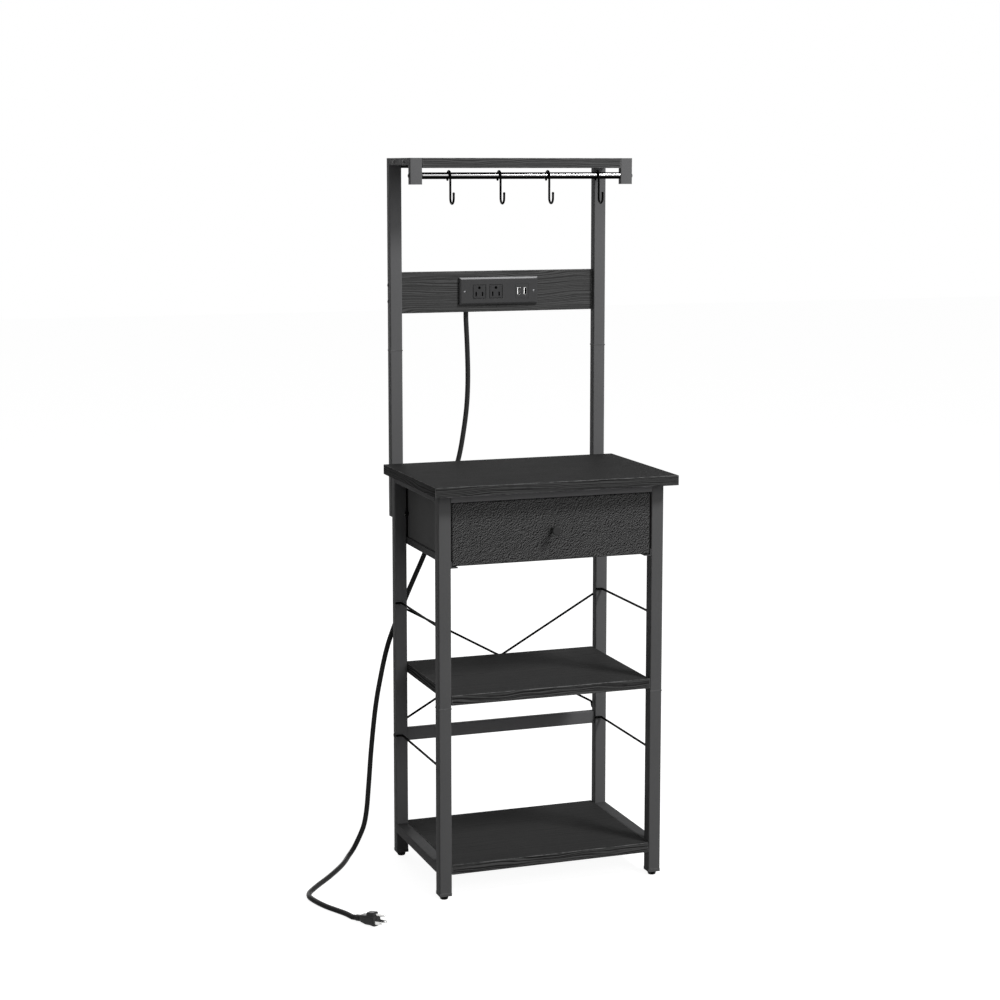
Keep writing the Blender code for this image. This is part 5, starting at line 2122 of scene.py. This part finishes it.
@dataclass(frozen=True)
class HookRod:
    """The rod between the brackets and its four S-hooks."""

    y: float = 0.01875
    z: float = 1.2775
    half_length: float = 0.1897
    radius: float = 0.006
    wire: float = 0.0020
    clearance: float = 0.0001
    rear_drop: float = 0.0085
    bottom_drop: float = 0.0493
    bowl_radius: float = 0.0095
    tip_drop: float = 0.0305
    places: tuple[float, ...] = (-0.366, -0.116, 0.130, 0.384)

    def arc(self, centre: tuple[float, float], radius: float, end: float) -> list[Vector]:
        """Give an arc in the YZ plane from angle 0.

        Args:
            centre: Its Y and Z.
            radius: Its radius.
            end: The angle it ends at.

        Returns:
            The points.
        """
        turns = (end * step / 28 for step in range(29))
        return [
            Vector((0.0, centre[0] + radius * math.cos(turn), centre[1] + radius * math.sin(turn)))
            for turn in turns
        ]

    def hook_line(self) -> list[Vector]:
        """Give an S-hook's line about the rod's axis, from its rear tip to its front tip.

        Returns:
            The points.
        """
        loop = self.radius + self.clearance + self.wire
        bowl = (-loop - self.bowl_radius, self.bowl_radius - self.bottom_drop)
        return [
            Vector((0.0, loop, -self.rear_drop + self.wire * 0.6)),
            *self.arc((0.0, 0.0), loop, math.pi),
            *self.arc(bowl, self.bowl_radius, -math.pi),
            Vector((0.0, bowl[0] - self.bowl_radius, -self.tip_drop - self.wire * 0.4)),
        ]

    def build(self, fitter: Fitter) -> None:
        """Make the rod and the hooks.

        Args:
            fitter: What puts them on the rack.
        """
        start = (-self.half_length, self.y, self.z)
        length = 2 * self.half_length
        profile = [
            (0.0, 0.0), (self.radius - 0.0005, 0.0), (self.radius, 0.0005),
            (self.radius, length - 0.0005), (self.radius - 0.0005, length), (0.0, length),
        ]
        fitter.piece(
            "polished_rod", lathe(profile, Axis.RIGHT.value, start, 72), ROD_PAINTED_REFLECTION, Body.RACK,
            ("hanging_rod",),
        )
        bodies = (Body.HOOK_1, Body.HOOK_2, Body.HOOK_3, Body.HOOK_4)
        for number, (share, body) in enumerate(zip(self.places, bodies), start=1):
            line = self.hook_line()
            middle = Vector((share * length, self.y, self.z))
            points = [point + middle for point in line]
            hook = sweep(points, [self.wire] * len(points), 20)
            bead = sweep(
                [points[-1] - Vector((0.0, 0.0, 0.0006)), points[-1] + Vector((0.0, 0.0, 0.0001))],
                [self.wire * 1.12] * 2, 20,
            )
            fitter.piece(
                f"hanging_hook_{number}", merge([hook, bead]), HOOK_WIRE, body,
                (f"s_hook_{number}",),
            )


@dataclass(frozen=True)
class Outlet:
    """The bezel with its two receptacles and charging ports, and the housing behind."""

    front: float = 0.14195
    back: float = 0.14845
    low: tuple[float, float] = (-0.0775, 1.03875)
    high: tuple[float, float] = (0.0775, 1.08925)
    rim: float = 0.0032
    rim_depth: float = 0.0021
    socket_z: float = 1.0627
    side: float = 0.026
    offsets: tuple[float, float] = (-0.039, -0.0063)
    usb_offset: float = 0.0455
    usb_pitch: float = 0.013
    slot_depth: float = 0.0045
    blade_pitch: float = 0.0127
    slot_drop: float = 0.0043
    slot_half: float = 0.0013
    slot_tall: tuple[float, float] = (0.0042, 0.0038)
    ground_rise: float = 0.0072
    screws: tuple[float, float] = (-0.0676, 0.0690)
    screw_z: float = 1.063
    cover_z: float = 1.064
    cover_screws: tuple[float, float] = (0.0635, 0.0135)

    def build(self, fitter: Fitter) -> None:
        """Make the outlet's pieces.

        Args:
            fitter: What puts them on the rack.
        """
        self.add_bezel(fitter)
        for number, offset in enumerate(self.offsets, start=1):
            self.add_receptacle(fitter, number, offset)
        self.add_ports(fitter)
        fitter.keep("outlet_housing", HOUSING_PLASTIC)
        self.add_housing_details(fitter)

    def chamfered(self, reach: float) -> bmesh.types.BMesh:
        """Make the bezel's plate with sloped rims, a little rounded.

        Args:
            reach: How far the rims slope in.

        Returns:
            The shape.
        """
        shape = bmesh.new()
        rings = []
        for inset, y in ((0.0, self.back), (0.0, self.front + self.rim_depth), (reach, self.front)):
            low_x, low_z = self.low[0] + inset, self.low[1] + inset
            high_x, high_z = self.high[0] - inset, self.high[1] - inset
            rings.append([
                Vector((low_x, y, low_z)), Vector((high_x, y, low_z)),
                Vector((high_x, y, high_z)), Vector((low_x, y, high_z)),
            ])
        skin_rings(shape, rings, closed=True)
        bmesh.ops.bevel(
            shape, geom=shape.edges[:], offset=0.0004, segments=3, profile=0.5, affect="EDGES",
        )
        return shape

    def add_bezel(self, fitter: Fitter) -> None:
        """Make the bezel, its windows and its screws."""
        half = self.side / 2 + 0.0003
        windows = [
            block(
                (offset - half, self.front - 0.002, self.socket_z - half),
                (offset + half, self.back + 0.002, self.socket_z + half), 0.0,
            )
            for offset in (*self.offsets, self.usb_offset)
        ]
        windows += [
            lathe(
                [(0.0, -0.001), (0.0024, -0.001), (0.0024, 0.0008), (0.0, 0.0008)],
                Axis.BACK.value, (x, self.front, self.screw_z), 32,
            )
            for x in self.screws
        ]
        fitter.piece(
            "bezel", carve(self.chamfered(self.rim), windows), PLATE_PLASTIC_PAINTED_HIGHLIGHT, Body.RACK,
            ("outlet_bezel",),
        )
        heads = PLATE_SCREW.many(
            ((x, self.front + 0.0007, self.screw_z), Axis.FRONT) for x in self.screws
        )
        fitter.piece("bezel_screws", heads, SCREW, Body.RACK)

    def insert(self, offset: float, line: float = 0.0010) -> bmesh.types.BMesh:
        """Make a square insert with a sunk line round its raised face.

        Args:
            offset: Its middle.
            line: How wide the line is.

        Returns:
            The shape.
        """
        half = self.side / 2
        face = half - line
        shape = block(
            (offset - face, self.front, self.socket_z - face),
            (offset + face, self.front + 0.003, self.socket_z + face), 0.0006, 3,
        )
        base = block(
            (offset - half, self.front + 0.0012, self.socket_z - half),
            (offset + half, self.back, self.socket_z + half), 0.0,
        )
        return carve(shape, [base], "UNION")

    def add_receptacle(self, fitter: Fitter, number: int, offset: float) -> None:
        """Make one grounded receptacle, the painted shade inside its slots, and its contacts.

        Args:
            fitter: What puts it on the rack.
            number: Its number.
            offset: Its middle.
        """
        back = self.front + self.slot_depth
        z = self.socket_z - self.slot_drop
        half = self.slot_half
        ground = (offset, self.front, self.socket_z + self.ground_rise)
        tools = []
        painted_shade_linings = []
        contacts = []
        for sign, tall in zip((-1, 1), self.slot_tall):
            x = offset + sign * self.blade_pitch / 2
            tools.append(block(
                (x - half, self.front - 0.002, z - tall), (x + half, back, z + tall), 0.0,
            ))
            # painted shade: near-black walls inside each slot
            painted_shade_linings.append(self.painted_shade_lining((x - half, z - tall), (x + half, z + tall), back))
            contacts.append(block(
                (x - 0.0007, back - 0.0012, z - tall + 0.0006),
                (x - 0.0003, back + 0.0004, z + tall - 0.0006), 0.0,
            ))
        tools.append(lathe(
            [(0.0, -0.002), (0.0026, -0.002), (0.0026, self.slot_depth), (0.0, self.slot_depth)],
            Axis.BACK.value, ground, 32,
        ))
        painted_shade_linings.append(lathe(
            [(0.0025, 0.0006), (0.0025, self.slot_depth - 0.0001), (0.0, self.slot_depth - 0.0001)],
            Axis.BACK.value, ground, 32,
        ))
        fitter.piece(
            f"receptacle_face_{number}", carve(self.insert(offset), tools), SOCKET_PLASTIC,
            Body.RACK, (f"receptacle_{number}",),
        )
        fitter.piece(
            f"receptacle_hollow_{number}", merge(painted_shade_linings), NEAR_BLACK_AND_PAINTED_SHADE, Body.RACK,
        )
        fitter.piece(
            f"receptacle_contacts_{number}", merge(contacts), BRASS, Body.RACK,
        )

    def painted_shade_lining(
        self, low: tuple[float, float], high: tuple[float, float], back: float,
    ) -> bmesh.types.BMesh:
        """Make the painted shade in a slot: thin near-black walls just inside it and at its back.

        Args:
            low: The slot's low X and Z.
            high: Its high X and Z.
            back: Its back Y.

        Returns:
            The shape.
        """
        skin = 0.00015
        outer = block((low[0], self.front + 0.0006, low[1]), (high[0], back, high[1]), 0.0)
        inner = block(
            (low[0] + skin, self.front - 0.001, low[1] + skin),
            (high[0] - skin, back - skin, high[1] - skin), 0.0,
        )
        return carve(outer, [inner])

    def add_ports(self, fitter: Fitter) -> None:
        """Make the charging insert: two upright metal shells round dark tongues."""
        half_width, half_height, wall = 0.00275, 0.0067, 0.0004
        tools = []
        shells = []
        tongues = []
        back = self.front + self.slot_depth
        for sign in (-1, 1):
            x = self.usb_offset + sign * self.usb_pitch / 2
            z = self.socket_z
            low = (x - half_width, z - half_height)
            high = (x + half_width, z + half_height)
            tools.append(block((low[0], self.front - 0.002, low[1]), (high[0], back, high[1]), 0.0))
            outer = block((low[0], self.front + 0.0001, low[1]), (high[0], back, high[1]), 0.0003, 2)
            inner = block(
                (low[0] + wall, self.front - 0.002, low[1] + wall),
                (high[0] - wall, back - wall, high[1] - wall), 0.0002, 2,
            )
            shells.append(carve(outer, [inner]))
            shells.append(block(
                (x - half_width + wall, self.front + 0.0012, z - 0.0058),
                (x - 0.0009, back, z + 0.0058), 0.0002, 2,
            ))
            tongues.append(block(
                (x - 0.0004, self.front + 0.0008, z - 0.0062),
                (x + half_width - wall - 0.0002, back, z + 0.0062), 0.0002, 2,
            ))
        fitter.piece(
            "charging_insert", carve(self.insert(self.usb_offset, -0.0002), tools), PORT_PLASTIC,
            Body.RACK, ("usb_module",),
        )
        fitter.piece(
            "charging_shells", merge(shells), BRIGHT, Body.RACK,
        )
        fitter.piece(
            "charging_tongues", merge(tongues), NEAR_BLACK_AND_PAINTED_SHADE, Body.RACK,
        )

    def add_housing_details(self, fitter: Fitter) -> None:
        """Screw the housing's cover at its corners."""
        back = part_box("outlet_housing")[1][1]
        out, up = self.cover_screws
        places = [
            ((sign_x * out, back - HOUSING_SCREW.rise, self.cover_z + sign_z * up), Axis.BACK)
            for sign_x in (-1, 1) for sign_z in (-1, 1)
        ]
        heads = HOUSING_SCREW.many(places)
        fitter.piece("housing_screws", heads, SCREW, Body.RACK)


def main() -> None:
    """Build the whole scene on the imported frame."""
    logging.basicConfig(level=logging.INFO, format="%(message)s")
    clear_scene()
    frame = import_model()
    fitter = Fitter(frame["nodes"])
    PhotoCamera().build()
    cord = MainsCord()
    cord_piece = cord.build(fitter)
    on_cord = [StrainRelief().build(fitter), *MainsPlug(cord).build(fitter)]
    LOG.info("cord and plug: %d pieces", len(on_cord) + 1)
    for assembly in (SteelFrame(), Boards(), Wires(), Drawer(), HookRod(), Outlet()):
        before = len(bpy.data.objects)
        assembly.build(fitter)
        LOG.info(
            "%s: %d pieces added", type(assembly).__name__, len(bpy.data.objects) - before,
        )
    Studio().build()


if __name__ == "__main__":
    main()
